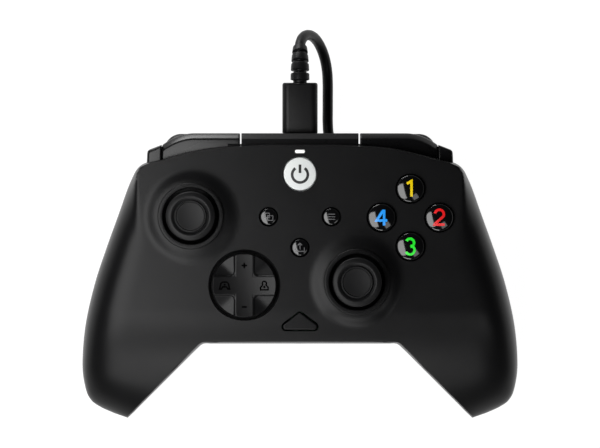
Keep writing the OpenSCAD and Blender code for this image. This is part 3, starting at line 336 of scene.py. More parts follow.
# Cord: from the bend relief down behind the plug, back under the body, into the coil and to the host plug

def boot_at(angle):
    a = math.radians(angle)
    return (0, PLUG_END_Y + BOOT_BEND_R * math.sin(a), USB_Z - BOOT_BEND_R * (1 - math.cos(a)))


CLIMB_TURNS = 0.25


def coil_at(n):
    """The coil's middle line after so many turns: flat spirals in and out, layer on layer."""
    layer_turns = COIL_TURNS / COIL_LAYERS
    layer = min(COIL_LAYERS - 1, int(n / layer_turns + 1e-9))
    into = n - layer * layer_turns
    r = COIL_R - COIL_PITCH * (into if layer % 2 == 0 else layer_turns - into)
    climb = sum(ease(i * layer_turns - CLIMB_TURNS, i * layer_turns + CLIMB_TURNS, n)
                for i in range(1, COIL_LAYERS))
    a = 2 * math.pi * n
    return (COIL[0] + r * math.cos(a), COIL[1] - r * math.sin(a), COIL_Z + COIL_PITCH * climb)


COIL_START = (COIL[0] + COIL_R, COIL[1] + CABLE_D, COIL_Z)
COIL_END = (COIL[0] - CABLE_D, COIL[1] - COIL_R, COIL_Z + (COIL_LAYERS - 1) * COIL_PITCH)
CABLE_ROUTE = [
    boot_at(BOOT_BEND), (0.1, 81.6, 30.1), (0.8, 83.4, 27.6), (2, 84.5, 24.6), (3.6, 84.6, 21.4),
    (5.2, 83.6, 18), (6.7, 81.6, 15), (8, 78.8, 12.6), (9, 75.4, 10.8), (9.6, 71.6, 9.3), (9.8, 67.4, 7.6),
    (9.8, 63, 5.6), (9.8, 58.5, 3.7), (9.8, 54, 2.4), (10.2, 49.6, 2), (12, 45.8, 2), (15.4, 42.4, 2),
    (19.4, 39.4, 2), (23.2, 36, 2.1), (26.8, 32.2, 2.3), (30.2, 27.8, 2.6), (32.8, 22.8, 2.9),
    (34.4, 18.4, 3), COIL_START,
]
TAIL_ROUTE = [
    COIL_END, (-3, -19.8, 15.9), (-7.6, -19.8, 15.5), (-12.2, -19.6, 14.6), (-16.8, -19.2, 13.2),
    (-21.2, -18.4, 11.5), (-25.4, -17.2, 9.6), (-29.4, -15.2, 7.8), (-32.8, -12.4, 6.3), (-35.2, -9.2, 5.2),
    (-36.6, -6, 4.5), HOST,
]
ROUTE_STEPS = 4
LOOP_STEPS = 48


def fine(route):
    return [spline(route, i / ROUTE_STEPS) for i in range((len(route) - 1) * ROUTE_STEPS + 1)]


coil_line = [coil_at(i / LOOP_STEPS) for i in range(int(COIL_TURNS * LOOP_STEPS) + 1)]
cord_line = [tuple(p) for p in fine(CABLE_ROUTE)] + coil_line + [tuple(p) for p in fine(TAIL_ROUTE)]

cord_curve = bpy.data.curves.new("cord", "CURVE")
cord_curve.dimensions = "3D"
cord_curve.bevel_depth = CABLE_D / 2 * MM
cord_curve.bevel_resolution = 6
cord_curve.use_fill_caps = True
cord_spline = cord_curve.splines.new("POLY")
cord_spline.points.add(len(cord_line) - 1)
for point, at in zip(cord_spline.points, cord_line):
    point.co = (at[0] * MM, at[1] * MM, at[2] * MM, 1)
cord_spline.use_smooth = True
cord_curve.materials.append(CABLE)
cord = bpy.data.objects.new("cord", cord_curve)
scene.collection.objects.link(cord)
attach(cord, "root")
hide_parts("cable", "cable_coil", "cable_tail")


# Shells: the CAD's outline and faces on a finer grid, with crisper inner and softer crowned outer edges

# Stations from the right grip's end to the middle: outer and back edge, inner and front edge, and how far
# each edge belongs to a grip
OUTLINE = [
    [65.5, -48.3, 60.6, -50.0, 1.0, 1.0],
    [70.0, -46.25, 58.4, -47.95, 1.0, 1.0],
    [73.4, -43.8, 56.0, -45.5, 1.0, 1.0],
    [75.4, -39.6, 52.6, -42.1, 1.0, 1.0],
    [76.5, -31.0, 47.3, -36.8, 1.0, 1.0],
    [75.4, -17.3, 41.5, -31.0, 1.0, 1.0],
    [72.2, -3.0, 36.5, -26.0, 1.0, 0.6],
    [68.3, 9.0, 34.0, -24.0, 1.0, 0.2],
    [63.8, 21.5, 31.0, FRONT_Y, 1.0, 0.0],
    [59.6, 33.0, 28.0, FRONT_Y, 0.8, 0.0],
    [55.8, 38.9, 26.0, FRONT_Y, 0.4, 0.0],
    [48.0, 41.3, 23.0, FRONT_Y, 0.0, 0.0],
    [38.0, 44.0, 18.5, FRONT_Y, 0.0, 0.0],
    [28.0, 45.6, 14.0, FRONT_Y, 0.0, 0.0],
    [14.0, 46.3, 7.0, FRONT_Y, 0.0, 0.0],
    [0.0, 46.5, 0.0, FRONT_Y, 0.0, 0.0],
]
HALF_N = len(OUTLINE) - 1
STATIONS = [[-s[0], s[1], -s[2], s[3], s[4], s[5]] for s in OUTLINE] + OUTLINE[-2::-1]
RIBS = 150
COLUMNS = 60
RIB_CROWD = 1.5
WALL = 2.3
# The inner face starts about a wall's thickness in from the grip's end, as a share of the first station
END_STATION = 3.6
END_INSET = WALL / END_STATION
MIN_ROUND = 0.3
FRONT_ROUNDS = {"rim": 0.8, "side": 18, "inner": 0.7}
REAR_ROUNDS = {"rim": 5, "side": 15, "inner": 12}
FRONT_END_ROUND, REAR_END_ROUND = 15, 10
# Powers of the edges' curves, and how fast the front's side rounding fades towards the back corners
CIRCLE_POWER, SIDE_POWER, END_POWER = 2, 3.5, 3.2
CORNER_FADE = 6
FACE_FALL, FALL_Y, FALL_LEN, FALL_POWER = 15, -12, 38, 1.6
GRIP_X, BACK_RISE_Y, BACK_RISE, SKID_DEPTH = (38, 58), (14, 48), 0.85, 0.8
SEAM = 0.1
COLLAR_R, COLLAR_H, MOUND_R, MOUND_H = 11.6, 3.0, 16.4, 1.25
STICK_HOLE_R = 9.8

END_A, END_B = Vector(OUTLINE[0][0:2]), Vector(OUTLINE[0][2:4])
END_NORMAL = Vector((END_B.y - END_A.y, END_A.x - END_B.x)).normalized()


def face_at(y):
    return FACE_Z - FACE_FALL * (max(0, FALL_Y - y) / FALL_LEN) ** FALL_POWER


def under_at(x, y):
    return mix(BELLY_Z, -SKID_DEPTH, ease(*GRIP_X, abs(x)) * (1 - BACK_RISE * ease(*BACK_RISE_Y, y)))


def edge_curve(d, r, power=CIRCLE_POWER):
    """Share of the full height at a distance in from an edge rounded as a quarter of a superellipse."""
    q = 1 - clamp01(d / r)
    return (1 - q ** power) ** (1 / power)


def mound(x, y):
    """The soft rise round the sticks' collars."""
    high = 0
    for sx, sy in (LEFT_STICK, RIGHT_STICK):
        high = max(high, MOUND_H * (1 - ease(COLLAR_R, MOUND_R, math.hypot(x - sx, y - sy))))
    return high


def shell_row(k, front, inset):
    """One rib of a shell's outer (inset 0) or inner face."""
    f = HALF_N * (1 - abs(k) / RIBS) ** RIB_CROWD
    u = f if k < 0 else 2 * HALF_N - f
    start = END_INSET if inset else 0
    s = spline(STATIONS, mix(start, 2 * HALF_N - start, u / (2 * HALF_N)))
    rounds = FRONT_ROUNDS if front else REAR_ROUNDS
    side = clamp01(s[4]) ** CORNER_FADE if front else clamp01(s[4])
    round_u = max(MIN_ROUND, mix(rounds["rim"], rounds["side"], side) - inset)
    round_l = max(MIN_ROUND, mix(rounds["rim"], rounds["inner"], clamp01(s[5])) - inset)
    side_power = mix(CIRCLE_POWER, SIDE_POWER, side) if front else CIRCLE_POWER
    end_round, end_power = (FRONT_END_ROUND, END_POWER) if front else (REAR_END_ROUND, CIRCLE_POWER)
    w = math.hypot(s[0] - s[2], s[1] - s[3])
    row = []
    for j in range(COLUMNS + 1):
        t = mix(inset / w, 1 - inset / w, (1 - math.cos(math.pi * j / COLUMNS)) / 2)
        x, y = mix(s[0], s[2], t), mix(s[1], s[3], t)
        full = face_at(y) - inset if front else under_at(x, y) + inset
        e = 0
        if 0 < j < COLUMNS and abs(k) < RIBS:
            far = max(0, (Vector((abs(x), y)) - END_B) @ END_NORMAL)
            e = (edge_curve(t * w - inset, round_u, side_power) * edge_curve((1 - t) * w - inset, round_l)
                 * edge_curve(max(0, far - inset), end_round - inset, end_power))
        z = mix(SPLIT_Z, full, e)
        if front:
            z = max(z, SPLIT_Z + SEAM) + (0 if inset else e * mound(x, y))
        else:
            z = max(0.0, min(z, SPLIT_Z - SEAM))
        row.append((x, y, z))
    return row


def shell_solid(front):
    points, faces = [], []
    for inset in (0, WALL):
        for k in range(-RIBS, RIBS + 1):
            points += shell_row(k, front, inset)
    row, rows = COLUMNS + 1, 2 * RIBS + 1
    inner = row * rows
    for i in range(rows - 1):
        for j in range(row - 1):
            a = i * row + j
            quad = (a, a + row, a + row + 1, a + 1)
            faces += [quad, tuple(q + inner for q in reversed(quad))]
    loop = ([i * row for i in range(rows - 1)] + [(rows - 1) * row + j for j in range(row - 1)]
            + [i * row + row - 1 for i in range(rows - 1, 0, -1)] + list(range(row - 1, 0, -1)))
    for a, b in zip(loop, loop[1:] + loop[:1]):
        faces.append((b, a, a + inner, b + inner))
    return points, faces


def moved(part, x=0, y=0, z=0):
    return [(p[0] + x, p[1] + y, p[2] + z) for p in part[0]], part[1]


def box_part(low, high):
    (x0, y0, z0), (x1, y1, z1) = low, high
    return loft([[(x0, y0, z), (x1, y0, z), (x1, y1, z), (x0, y1, z)] for z in (z0, z1)])


def prism(outline, low, high):
    return loft([[(x, y, z) for x, y in outline] for z in (low, high)])


def tube_y(r, x, z, y0, y1, sides=48):
    return loft([[(x + a, y, z + b) for a, b in circle(r, sides)] for y in (y0, y1)])


def bore(r, low, high, sides=96):
    return lathe([(0, low), (r, low), (r, high), (0, high)], sides)


def side_box(side, xs, ys, zs):
    """A box on the right side, or mirrored to the left."""
    x0, x1 = sorted(side * x for x in xs)
    return box_part((x0, ys[0], zs[0]), (x1, ys[1], zs[1]))


CUT_OVER, CUT_LIFT = 4, 0.02


def hole_cutter(r, low, chamfer):
    """A round hole in the face with a chamfered mouth."""
    mouth = r + chamfer
    return lathe([(0, low), (r, low), (r, FACE_Z - chamfer), (mouth, FACE_Z + CUT_LIFT),
                  (mouth, FACE_Z + CUT_OVER), (0, FACE_Z + CUT_OVER)])


def cut(obj, *parts, operation="DIFFERENCE"):
    """Takes solids away from a piece, or joins them to it, one set after another."""
    for part in parts:
        tool = add_mesh("cutter", part[0], part[1], SHELL, None)
        step = obj.modifiers.new("cut", "BOOLEAN")
        step.operation = operation
        step.solver = "EXACT"
        step.object = tool
        bpy.context.view_layer.update()
        done = bpy.data.meshes.new_from_object(obj.evaluated_get(bpy.context.evaluated_depsgraph_get()))
        obj.modifiers.clear()
        obj.data = done
        bpy.data.objects.remove(tool)
    return obj


def settle(obj, sharp, body, replaced):
    """Finishes a cut piece, ties it to its body and hides the CAD node it stands for."""
    finish_mesh(obj.data, sharp)
    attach(obj, body)
    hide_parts(replaced)


FACE_BUTTONS = {
    name: (CLUSTER[0] + CLUSTER_PITCH * math.cos(math.radians(a)),
           CLUSTER[1] + CLUSTER_PITCH * math.sin(math.radians(a)))
    for name, a in (("top", 90), ("left", 180), ("right", 0), ("bottom", 270))
}
FACE_BUTTON_R, SMALL_R, HOME_R, PAD_HOLE_R = 4.8, 2.9, 5.7, 12.15
FUNC_TIP_Y, FUNC_BASE_Y, FUNC_HALF_W, FUNC_ROUND = -13, -18.9, 6, 1.1


def func_outline(grow, steps=8):
    """The function button's rounded three-cornered outline."""
    corners = [(0, FUNC_TIP_Y - FUNC_ROUND), (-FUNC_HALF_W + FUNC_ROUND, FUNC_BASE_Y + FUNC_ROUND),
               (FUNC_HALF_W - FUNC_ROUND, FUNC_BASE_Y + FUNC_ROUND)]
    ring = []
    for i, c in enumerate(corners):
        before, after = corners[i - 1], corners[(i + 1) % 3]
        start = math.atan2(c[1] - before[1], c[0] - before[0]) - math.pi / 2
        end = math.atan2(after[1] - c[1], after[0] - c[0]) - math.pi / 2
        while end < start:
            end += 2 * math.pi
        for s in range(steps + 1):
            a = mix(start, end, s / steps)
            ring.append((c[0] + (FUNC_ROUND + grow) * math.cos(a), c[1] + (FUNC_ROUND + grow) * math.sin(a)))
    return ring


def pill(w, h, x, y, steps=12):
    return [(x + p[0], y + p[1]) for p in rounded_rect(w, h, h / 2 - 1e-4, steps)]


# Openings of the front: gaps round the controls, chamfers of their mouths, and how deep the cuts go
SEAT_GAP, SEAT_LOW, SEAT_HIGH = 0.15, 42, 54
FACE_GAP, SMALL_GAP, HOME_GAP, FUNC_GAP = 0.35, 0.42, 0.35, 0.55
PAD_MOUTH, FACE_MOUTH, SMALL_MOUTH, HOME_MOUTH = 0.55, 0.22, 0.18, 0.15
CUT_LOW, PAD_CUT_LOW, CUT_HIGH = 40, 38, FACE_Z + 3
LENS_HOLE, LENS_Y = (3.56, 1.26), 43.6
HEADSET_R, HEADSET_Y = 2.63, (-40, -10)
POCKET_X, POCKET_Y, POCKET_LOW, OPEN_BACK_Y = 53.8, 36, 20, 60
SHELL_SHARP = 38

headset_bore = tube_y(HEADSET_R, 0, SPLIT_Z, *HEADSET_Y)
front_cuts = joined(
    *[moved(bore(COLLAR_R - SEAT_GAP, SEAT_LOW, SEAT_HIGH), *at) for at in (LEFT_STICK, RIGHT_STICK)],
    moved(hole_cutter(PAD_HOLE_R, PAD_CUT_LOW, PAD_MOUTH), *PAD),
    *[moved(hole_cutter(FACE_BUTTON_R + FACE_GAP, CUT_LOW, FACE_MOUTH), *at) for at in FACE_BUTTONS.values()],
    *[moved(hole_cutter(SMALL_R + SMALL_GAP, CUT_LOW, SMALL_MOUTH), *at) for at in SMALL.values()],
    moved(hole_cutter(HOME_R + HOME_GAP, CUT_LOW, HOME_MOUTH), *HOME),
    prism(func_outline(FUNC_GAP), CUT_LOW, CUT_HIGH),
    prism(pill(*LENS_HOLE, 0, LENS_Y), CUT_LOW, CUT_HIGH),
    headset_bore,
)
front = add_mesh("front_shell_skin", *shell_solid(True), SHELL, None)
cut(front, box_part((-POCKET_X, POCKET_Y, POCKET_LOW), (POCKET_X, OPEN_BACK_Y, POCKET_Z)), front_cuts)
settle(front, SHELL_SHARP, "root", "front_shell")

SCREWS = [(s * x, y, z) for s in (-1, 1) for x, y, z in ((16, 36, 23.6), (33, -16, 23.6), (62, -33, 19))]
WELL_R, WELL_X, WELL_FRONT_Y, WELL_TOP, UNDER_Z = 2.9, (30.2, 48.5), 34.8, 30, -3
rear_cuts = joined(
    *[side_box(s, WELL_X, (WELL_FRONT_Y, OPEN_BACK_Y), (UNDER_Z, WELL_TOP)) for s in (-1, 1)],
    *[moved(bore(WELL_R, UNDER_Z, z, 48), x, y) for x, y, z in SCREWS],
    headset_bore,
)
rear = add_mesh("rear_shell_skin", *shell_solid(False), SHELL, None)
cut(rear, rear_cuts)
settle(rear, SHELL_SHARP, "root", "rear_shell")

# Inside the rear shell: screw wells, and walls between the triggers' wells and the inside
POST_R, POST_HOLE_R, POST_TOP = 4, 1.5, SPLIT_Z - 0.3
GRIP_SCREW_Z, GRIP_POST_LEN, POST_CLEAR, SHORT_POST_LEN = 20, 18, 0.8, 1
WELL_WALL, WELL_WALL_TOP, WELL_WALL_GAP, WELL_WALL_STEPS = 1.4, 28.7, 0.02, 12


def screw_post(z):
    """A tube from a screw's well, with a ledge for its head at a height, up to the seam."""
    foot = max(POST_CLEAR, z - GRIP_POST_LEN) if z < GRIP_SCREW_Z else z - SHORT_POST_LEN
    return lathe([(WELL_R, foot), (WELL_R, z), (POST_HOLE_R, z), (POST_HOLE_R, POST_TOP), (POST_R, POST_TOP),
                  (POST_R, foot)], 48)


def well_wall(side):
    xs = [mix(*WELL_X, i / WELL_WALL_STEPS) for i in range(WELL_WALL_STEPS + 1)]
    outline = [(x, under_at(x, WELL_FRONT_Y) + WALL / 2) for x in xs]
    outline += [(xs[-1], WELL_WALL_TOP), (xs[0], WELL_WALL_TOP)]
    ys = (WELL_FRONT_Y - WELL_WALL, WELL_FRONT_Y - WELL_WALL_GAP)
    return loft([[(side * x, y, z) for x, z in outline] for y in ys])


posts = joined(*[moved(screw_post(z), x, y) for x, y, z in SCREWS])
add_mesh("screw_posts", *posts, SHELL, "root", "shell")
add_mesh("trigger_well_walls", *joined(well_wall(-1), well_wall(1)), SHELL, "root", "shell")


# Sticks

def arc(cr, cz, radius, start, end, steps=5):
    """Profile points along an arc, by angle in degrees from the outward direction."""
    angles = [math.radians(mix(start, end, i / steps)) for i in range(steps + 1)]
    return [(cr + radius * math.cos(a), cz + radius * math.sin(a)) for a in angles]


COLLAR_TOP, COLLAR_BEVEL, COLLAR_LOW = FACE_Z + COLLAR_H, 0.4, 45.6
collar = lathe(
    [(STICK_HOLE_R, COLLAR_LOW)]
    + arc(STICK_HOLE_R + COLLAR_BEVEL, COLLAR_TOP - COLLAR_BEVEL, COLLAR_BEVEL, 180, 90)
    + arc(COLLAR_R - COLLAR_BEVEL, COLLAR_TOP - COLLAR_BEVEL, COLLAR_BEVEL, 90, 0)
    + [(COLLAR_R, COLLAR_LOW), (STICK_HOLE_R, COLLAR_LOW)], 144)
collars = joined(moved(collar, *LEFT_STICK), moved(collar, *RIGHT_STICK))
add_mesh("stick_collars", *collars, SHELL, "root", "shell")

# Angles of the dome in degrees from upright: where the neck's inside and outside meet it, and its rim
DOME_R, DOME_WALL, DOME_IN, DOME_OUT, DOME_COVER, DOME_STEPS = 11, 1.2, 20, 24, 68, 14
NECK_R, NECK_WALL, NECK_LOW_ROUND, NECK_TOP_ROUND = 3.6, 0.8, 0.9, 0.7
NECK_DROP, NECK_FOOT = 0.4, 0.35
CAP_R, CAP_LOW, CAP_HIGH = 8.6, 55.5, 60.0
CAP_LOW_ROUND, CAP_SIDE_ROUND, CAP_SIDE_DROP = 1.2, 0.6, 1.15
RING_R, RING_ROUND, RING_LIFT, RING_FOOT, DISH_R = 5.25, 0.34, 0.12, 0.42, 4.6
GROOVE_Z, DISH_Z = CAP_HIGH - 0.68, CAP_HIGH - 0.95
# Radius and depth of the cap's crest, of the slope inside it and of the groove before the ring
CAP_CREST = [(7.85, 0.45), (7.45, 0.31), (7.15, 0.23), (6.9, 0.2), (6.7, 0.23), (6.5, 0.32), (6.3, 0.44),
             (5.85, 0.73), (RING_R + 0.52, 1.1), (RING_R + 0.38, 1.1)]
DISH_SHARES = (0.96, 0.88, 0.76, 0.62, 0.46, 0.3, 0.15, 0)


def dome_points(r, start, end):
    angles = [math.radians(mix(start, end, i / DOME_STEPS)) for i in range(DOME_STEPS + 1)]
    return [(r * math.sin(a), PIVOT_Z + r * math.cos(a)) for a in angles]


cap_profile = (
    [(NECK_R - NECK_WALL, PIVOT_Z + DOME_R - DOME_WALL - NECK_DROP)]
    + dome_points(DOME_R - DOME_WALL, DOME_IN, DOME_COVER)
    + dome_points(DOME_R, DOME_COVER, DOME_OUT)
    + arc(NECK_R + NECK_LOW_ROUND, PIVOT_Z + DOME_R + NECK_FOOT, NECK_LOW_ROUND, 250, 180)
    + arc(NECK_R + NECK_TOP_ROUND, CAP_LOW - NECK_TOP_ROUND, NECK_TOP_ROUND, 180, 90)
    + arc(CAP_R - CAP_LOW_ROUND, CAP_LOW + CAP_LOW_ROUND, CAP_LOW_ROUND, -90, 0)
    + arc(CAP_R - CAP_SIDE_ROUND, CAP_HIGH - CAP_SIDE_DROP, CAP_SIDE_ROUND, 0, 72)
    + [(r, CAP_HIGH - depth) for r, depth in CAP_CREST]
    + arc(RING_R, GROOVE_Z + RING_LIFT, RING_ROUND, 10, 170, 8)
    + [(RING_R - RING_FOOT, GROOVE_Z), (DISH_R, GROOVE_Z)]
    + [(DISH_R * t, mix(DISH_Z, GROOVE_Z, t * t)) for t in DISH_SHARES])
for side, at in (("left", LEFT_STICK), ("right", RIGHT_STICK)):
    thumb = moved(lathe(cap_profile, 128), *at)
    piece = add_mesh(f"{side}_thumb_cap", *thumb, RUBBER, f"{side}_stick_cap", "stick", sharp=42)
    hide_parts(f"{side}_stick_cap")


# Direction pad: a disc with arms that rise outward, and between them hollows that fall to a crease

PAD_R, PAD_RIM_R, PAD_ARM, PAD_FILLET, PAD_EDGE = 11.15, 11.35, 3.25, 1.9, 0.25
PAD_RINGS, PAD_SIDES, PAD_CROWD = 66, 360, 1.08
ARM_HIGH, ARM_RISE, ARM_SOFT, ARM_SOFT_W, ARM_WALL = 1.15, 1.0, 0.1, 0.35, (-0.05, 0.45)
HOLLOW_HIGH, HOLLOW_RISE, HOLLOW_FALL, CREASE_SOFT = 0.9, 0.2, 0.085, 5
# Radius and height of the disc's rim, its neck and the flange under the shell
PAD_SKIRT = [(PAD_R, FACE_Z - 0.5), (PAD_RIM_R - 0.1, FACE_Z - 0.65), (PAD_RIM_R, FACE_Z - 0.9),
             (PAD_RIM_R, 46.2), (10.2, 45.7), (10, 43.8), (12.6, 43.4), (12.6, 42.6)]


def pad_height(x, y):
    u, v = abs(x) - PAD_ARM, abs(y) - PAD_ARM
    q = min(u, v)
    if 0 < q and max(u, v) < PAD_FILLET:
        q = PAD_FILLET - math.hypot(PAD_FILLET - u, PAD_FILLET - v)
    r = math.hypot(x, y)
    arm = FACE_Z + ARM_HIGH + ARM_RISE * (r / PAD_R) ** 2 - ARM_SOFT * ease(-ARM_SOFT_W, 0, q)
    hollow = FACE_Z + HOLLOW_HIGH + HOLLOW_RISE * math.sqrt((u - v) ** 2 + CREASE_SOFT) - HOLLOW_FALL * r
    return mix(arm, hollow, ease(*ARM_WALL, q)) - PAD_EDGE * (1 - edge_curve(PAD_R - r, PAD_EDGE))


def pad_part():
    radii = [PAD_R * (1 - (1 - i / PAD_RINGS) ** PAD_CROWD) for i in range(1, PAD_RINGS + 1)]
    rings = [[(x, y, pad_height(x, y)) for x, y in circle(r, PAD_SIDES, 0.5)] for r in radii]
    rings += [[(x, y, z) for x, y in circle(r, PAD_SIDES, 0.5)] for r, z in PAD_SKIRT]
    points, rows = [(0, 0, pad_height(0, 0))], []
    for ring in rings:
        rows.append(list(range(len(points), len(points) + PAD_SIDES)))
        points += ring
    faces = [(0, rows[0][k], rows[0][(k + 1) % PAD_SIDES]) for k in range(PAD_SIDES)]
    for a, b in zip(rows, rows[1:]):
        faces += [(a[k], b[k], b[(k + 1) % PAD_SIDES], a[(k + 1) % PAD_SIDES]) for k in range(PAD_SIDES)]
    return points, faces + [tuple(reversed(rows[-1]))]


pad = add_mesh("pad_disc", *moved(pad_part(), *PAD), PAD_PLASTIC, "direction_pad", "pad", sharp=50)
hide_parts("direction_pad")


# Marks laid on the controls

MARK_STEP, MARK_LIFT, CROSS_LIFT, MITRE_LEAST = 0.3, 0.035, 0.045, 0.55


def dense(line):
    made = []
    for p, q in zip(line, line[1:]):
        n = max(1, int(math.ceil(math.dist(p, q) / MARK_STEP)))
        made += [(mix(p[0], q[0], i / n), mix(p[1], q[1], i / n)) for i in range(n)]
    return made + [line[-1]]


def beyond(p, q):
    """The point as far past p as q lies before it."""
    return 2 * p[0] - q[0], 2 * p[1] - q[1]


def ribbon(line, width, height, closed=False, lift=MARK_LIFT):
    """A flat strip along a line of plan points, laid on a surface."""
    line = dense(list(line) + ([line[0]] if closed else []))
    if closed:
        line = line[:-1]
    n = len(line)
    points = []
    for i, p in enumerate(line):
        before = line[i - 1] if i or closed else beyond(p, line[1])
        after = line[(i + 1) % n] if i < n - 1 or closed else beyond(p, line[-2])
        a = Vector((p[0] - before[0], p[1] - before[1])).normalized()
        b = Vector((after[0] - p[0], after[1] - p[1])).normalized()
        d = (a + b).normalized()
        reach = width / 2 / max(MITRE_LEAST, d @ a)
        for s in (1, -1):
            x, y = p[0] - s * d.y * reach, p[1] + s * d.x * reach
            points.append((x, y, height(x, y) + lift))
    spans = range(n if closed else n - 1)
    faces = [(2 * i, 2 * i + 1, (2 * i + 3) % (2 * n), (2 * i + 2) % (2 * n)) for i in spans]
    return points, faces


def ring_line(cx, cy, r, start, end, steps=24):
    angles = [math.radians(mix(start, end, i / steps)) for i in range(steps + 1)]
    return [(cx + r * math.cos(a), cy + r * math.sin(a)) for a in angles]


def shifted(line, dx, dy):
    return [(p[0] + dx, p[1] + dy) for p in line]


PAD_MARK_AT = 7.0
AT_TOP, AT_BOTTOM = (0, PAD_MARK_AT), (0, -PAD_MARK_AT - 0.5)
AT_LEFT, AT_RIGHT = (-PAD_MARK_AT + 0.1, 0), (PAD_MARK_AT, 0)
pad_outline = [(-1.75, -1.25), (-1.3, 0.75), (-0.7, 1.2), (0.7, 1.2), (1.3, 0.75), (1.75, -1.25),
               (1.2, -1.25), (0.65, -0.45), (-0.65, -0.45), (-1.2, -1.25)]
person = ring_line(0, 0.75, 0.72, -40, 220, 14) + [(-1.35, -0.75), (-1.35, -1.5), (1.35, -1.5), (1.35, -0.75)]
# Line, place, width, whether it is closed, and lift: a plus, a minus, a gamepad and a person with a plus
PAD_MARKS = [
    ([(-1, 0), (1, 0)], AT_TOP, 0.55, False, MARK_LIFT),
    ([(0, -1), (0, 1)], AT_TOP, 0.55, False, CROSS_LIFT),
    ([(-0.85, 0), (0.85, 0)], AT_BOTTOM, 0.6, False, MARK_LIFT),
    (pad_outline, AT_LEFT, 0.5, True, MARK_LIFT),
    ([(0, 0), (0, 0.6)], AT_LEFT, 0.62, False, MARK_LIFT),
    (person, AT_RIGHT, 0.5, True, MARK_LIFT),
    ([(-0.45, -0.5), (0.45, -0.5)], AT_RIGHT, 0.42, False, MARK_LIFT),
    ([(0, -0.95), (0, -0.05)], AT_RIGHT, 0.42, False, CROSS_LIFT),
]
pad_marks = joined(*[ribbon(shifted(line, *at), width, pad_height, closed, lift)
                     for line, at, width, closed, lift in PAD_MARKS])
add_mesh("pad_marks", *moved(pad_marks, *PAD), MARK_INK, "direction_pad", "pad")


# Buttons

CROWN_SHARE, CROWN_SOFT, FLANGE_W, FLANGE_TOP, FLANGE_H = 0.38, 0.35, 0.8, 45.4, 1.2
EDGE_SHARES, DOME_RINGS = (0, 0.004, 0.012, 0.025, 0.045, 0.075), 14
FACE_CROWN, SMALL_CROWN = 2.6, 1.0
# Radius and lower end of the buttons' stems
FACE_STEM, SMALL_STEM = (3, 33.2), (1.8, 33)


def dome_height(r0, crown):
    """Height of a domed button's face at a distance from its middle, with a rounded edge."""
    rise = crown * CROWN_SHARE
    bend = (r0 * r0 + rise * rise) / (2 * rise)

    def at(x, y):
        r = min(r0, math.hypot(x, y))
        edge = CROWN_SOFT * (1 - edge_curve(r0 - r, CROWN_SOFT))
        return FACE_Z + crown - bend + math.sqrt(bend * bend - r * r) - edge
    return at


def button_part(r0, crown, stem_r, stem_low):
    height = dome_height(r0, crown)
    radii = [r0 * (1 - t) for t in EDGE_SHARES] + [r0 * i / DOME_RINGS for i in range(DOME_RINGS - 2, 0, -1)]
    flange_r, flange_low = r0 + FLANGE_W, FLANGE_TOP - FLANGE_H
    stem = [(0, stem_low), (stem_r, stem_low), (stem_r, flange_low), (flange_r, flange_low),
            (flange_r, FLANGE_TOP), (r0, FLANGE_TOP)]
    return lathe(stem + [(r, height(r, 0)) for r in radii] + [(0, height(0, 0))], 96)


def add_button(piece_name, button, r0, crown, stem, at, material, slot):
    part = moved(button_part(r0, crown, *stem), *at)
    piece = add_mesh(piece_name, *part, material, button, slot, sharp=45)
    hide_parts(button)


NUMERALS = {
    "top": [[(-1.3, 1.75), (0.35, 2.7), (0.35, -2.75)]],
    "right": [ring_line(0, 1.2, 1.55, 170, -38) + [(-1.6, -2.2), (-1.7, -2.45), (1.85, -2.45)]],
    "bottom": [ring_line(-0.15, 1.3, 1.4, 155, -85), ring_line(-0.15, -1.25, 1.55, 85, -155)],
    "left": [[(0.85, -2.75), (0.85, 2.75)], [(0.6, 2.6), (-1.8, -1.0), (2.0, -1.0)]],
}
# Widths of the signs' lines; each further line of a sign lies a little higher than the one before
NUMERAL_W, SMALL_W, STANDBY_W = 0.9, 0.3, 0.95
SIGN_LIFT, NUMERAL_STEP, SMALL_STEP, STANDBY_LIFT = 0.03, 0.012, 0.01, 0.05
for name, at in FACE_BUTTONS.items():
    button = f"{name}_button"
    add_button(f"{name}_button_dome", button, FACE_BUTTON_R, FACE_CROWN, FACE_STEM, at, GLOSS, "button")
    height = dome_height(FACE_BUTTON_R, FACE_CROWN)
    marks = joined(*[ribbon(line, NUMERAL_W, height, lift=SIGN_LIFT + NUMERAL_STEP * i)
                     for i, line in enumerate(NUMERALS[name])])
    add_mesh(f"{name}_button_numeral", *moved(marks, *at), INKS[name], button, "button")

# Lines of the small buttons' signs, and whether they are closed
SMALL_MARKS = {
    "view": ([[(-1.5, -0.35), (-1.5, 1.25), (0.25, 1.25), (0.25, -0.35)],
              [(-0.35, -1.25), (-0.35, 0.4), (1.5, 0.4), (1.5, -1.25)]], True),
    "menu": ([[(-1.3, 0.9), (1.3, 0.9)], [(-1.3, 0), (1.3, 0)], [(-1.3, -0.9), (1.3, -0.9)]], False),
    "share": ([[(-1.5, 0.1), (-1.5, -1.3), (1.5, -1.3), (1.5, 0.1)], [(0, -0.6), (0, 1.5)],
               [(-0.75, 0.8), (0, 1.55), (0.75, 0.8)]], False),
}
for name, at in SMALL.items():
    button = f"{name}_button"
    add_button(f"{name}_button_dome", button, SMALL_R, SMALL_CROWN, SMALL_STEM, at, GLOSS, "button")
    lines, closed = SMALL_MARKS[name]
    height = dome_height(SMALL_R, SMALL_CROWN)
    marks = joined(*[ribbon(line, SMALL_W, height, closed=closed, lift=SIGN_LIFT + SMALL_STEP * i)
                     for i, line in enumerate(lines)])
    add_mesh(f"{name}_button_mark", *moved(marks, *at), PALE_PRINT, button, "button")

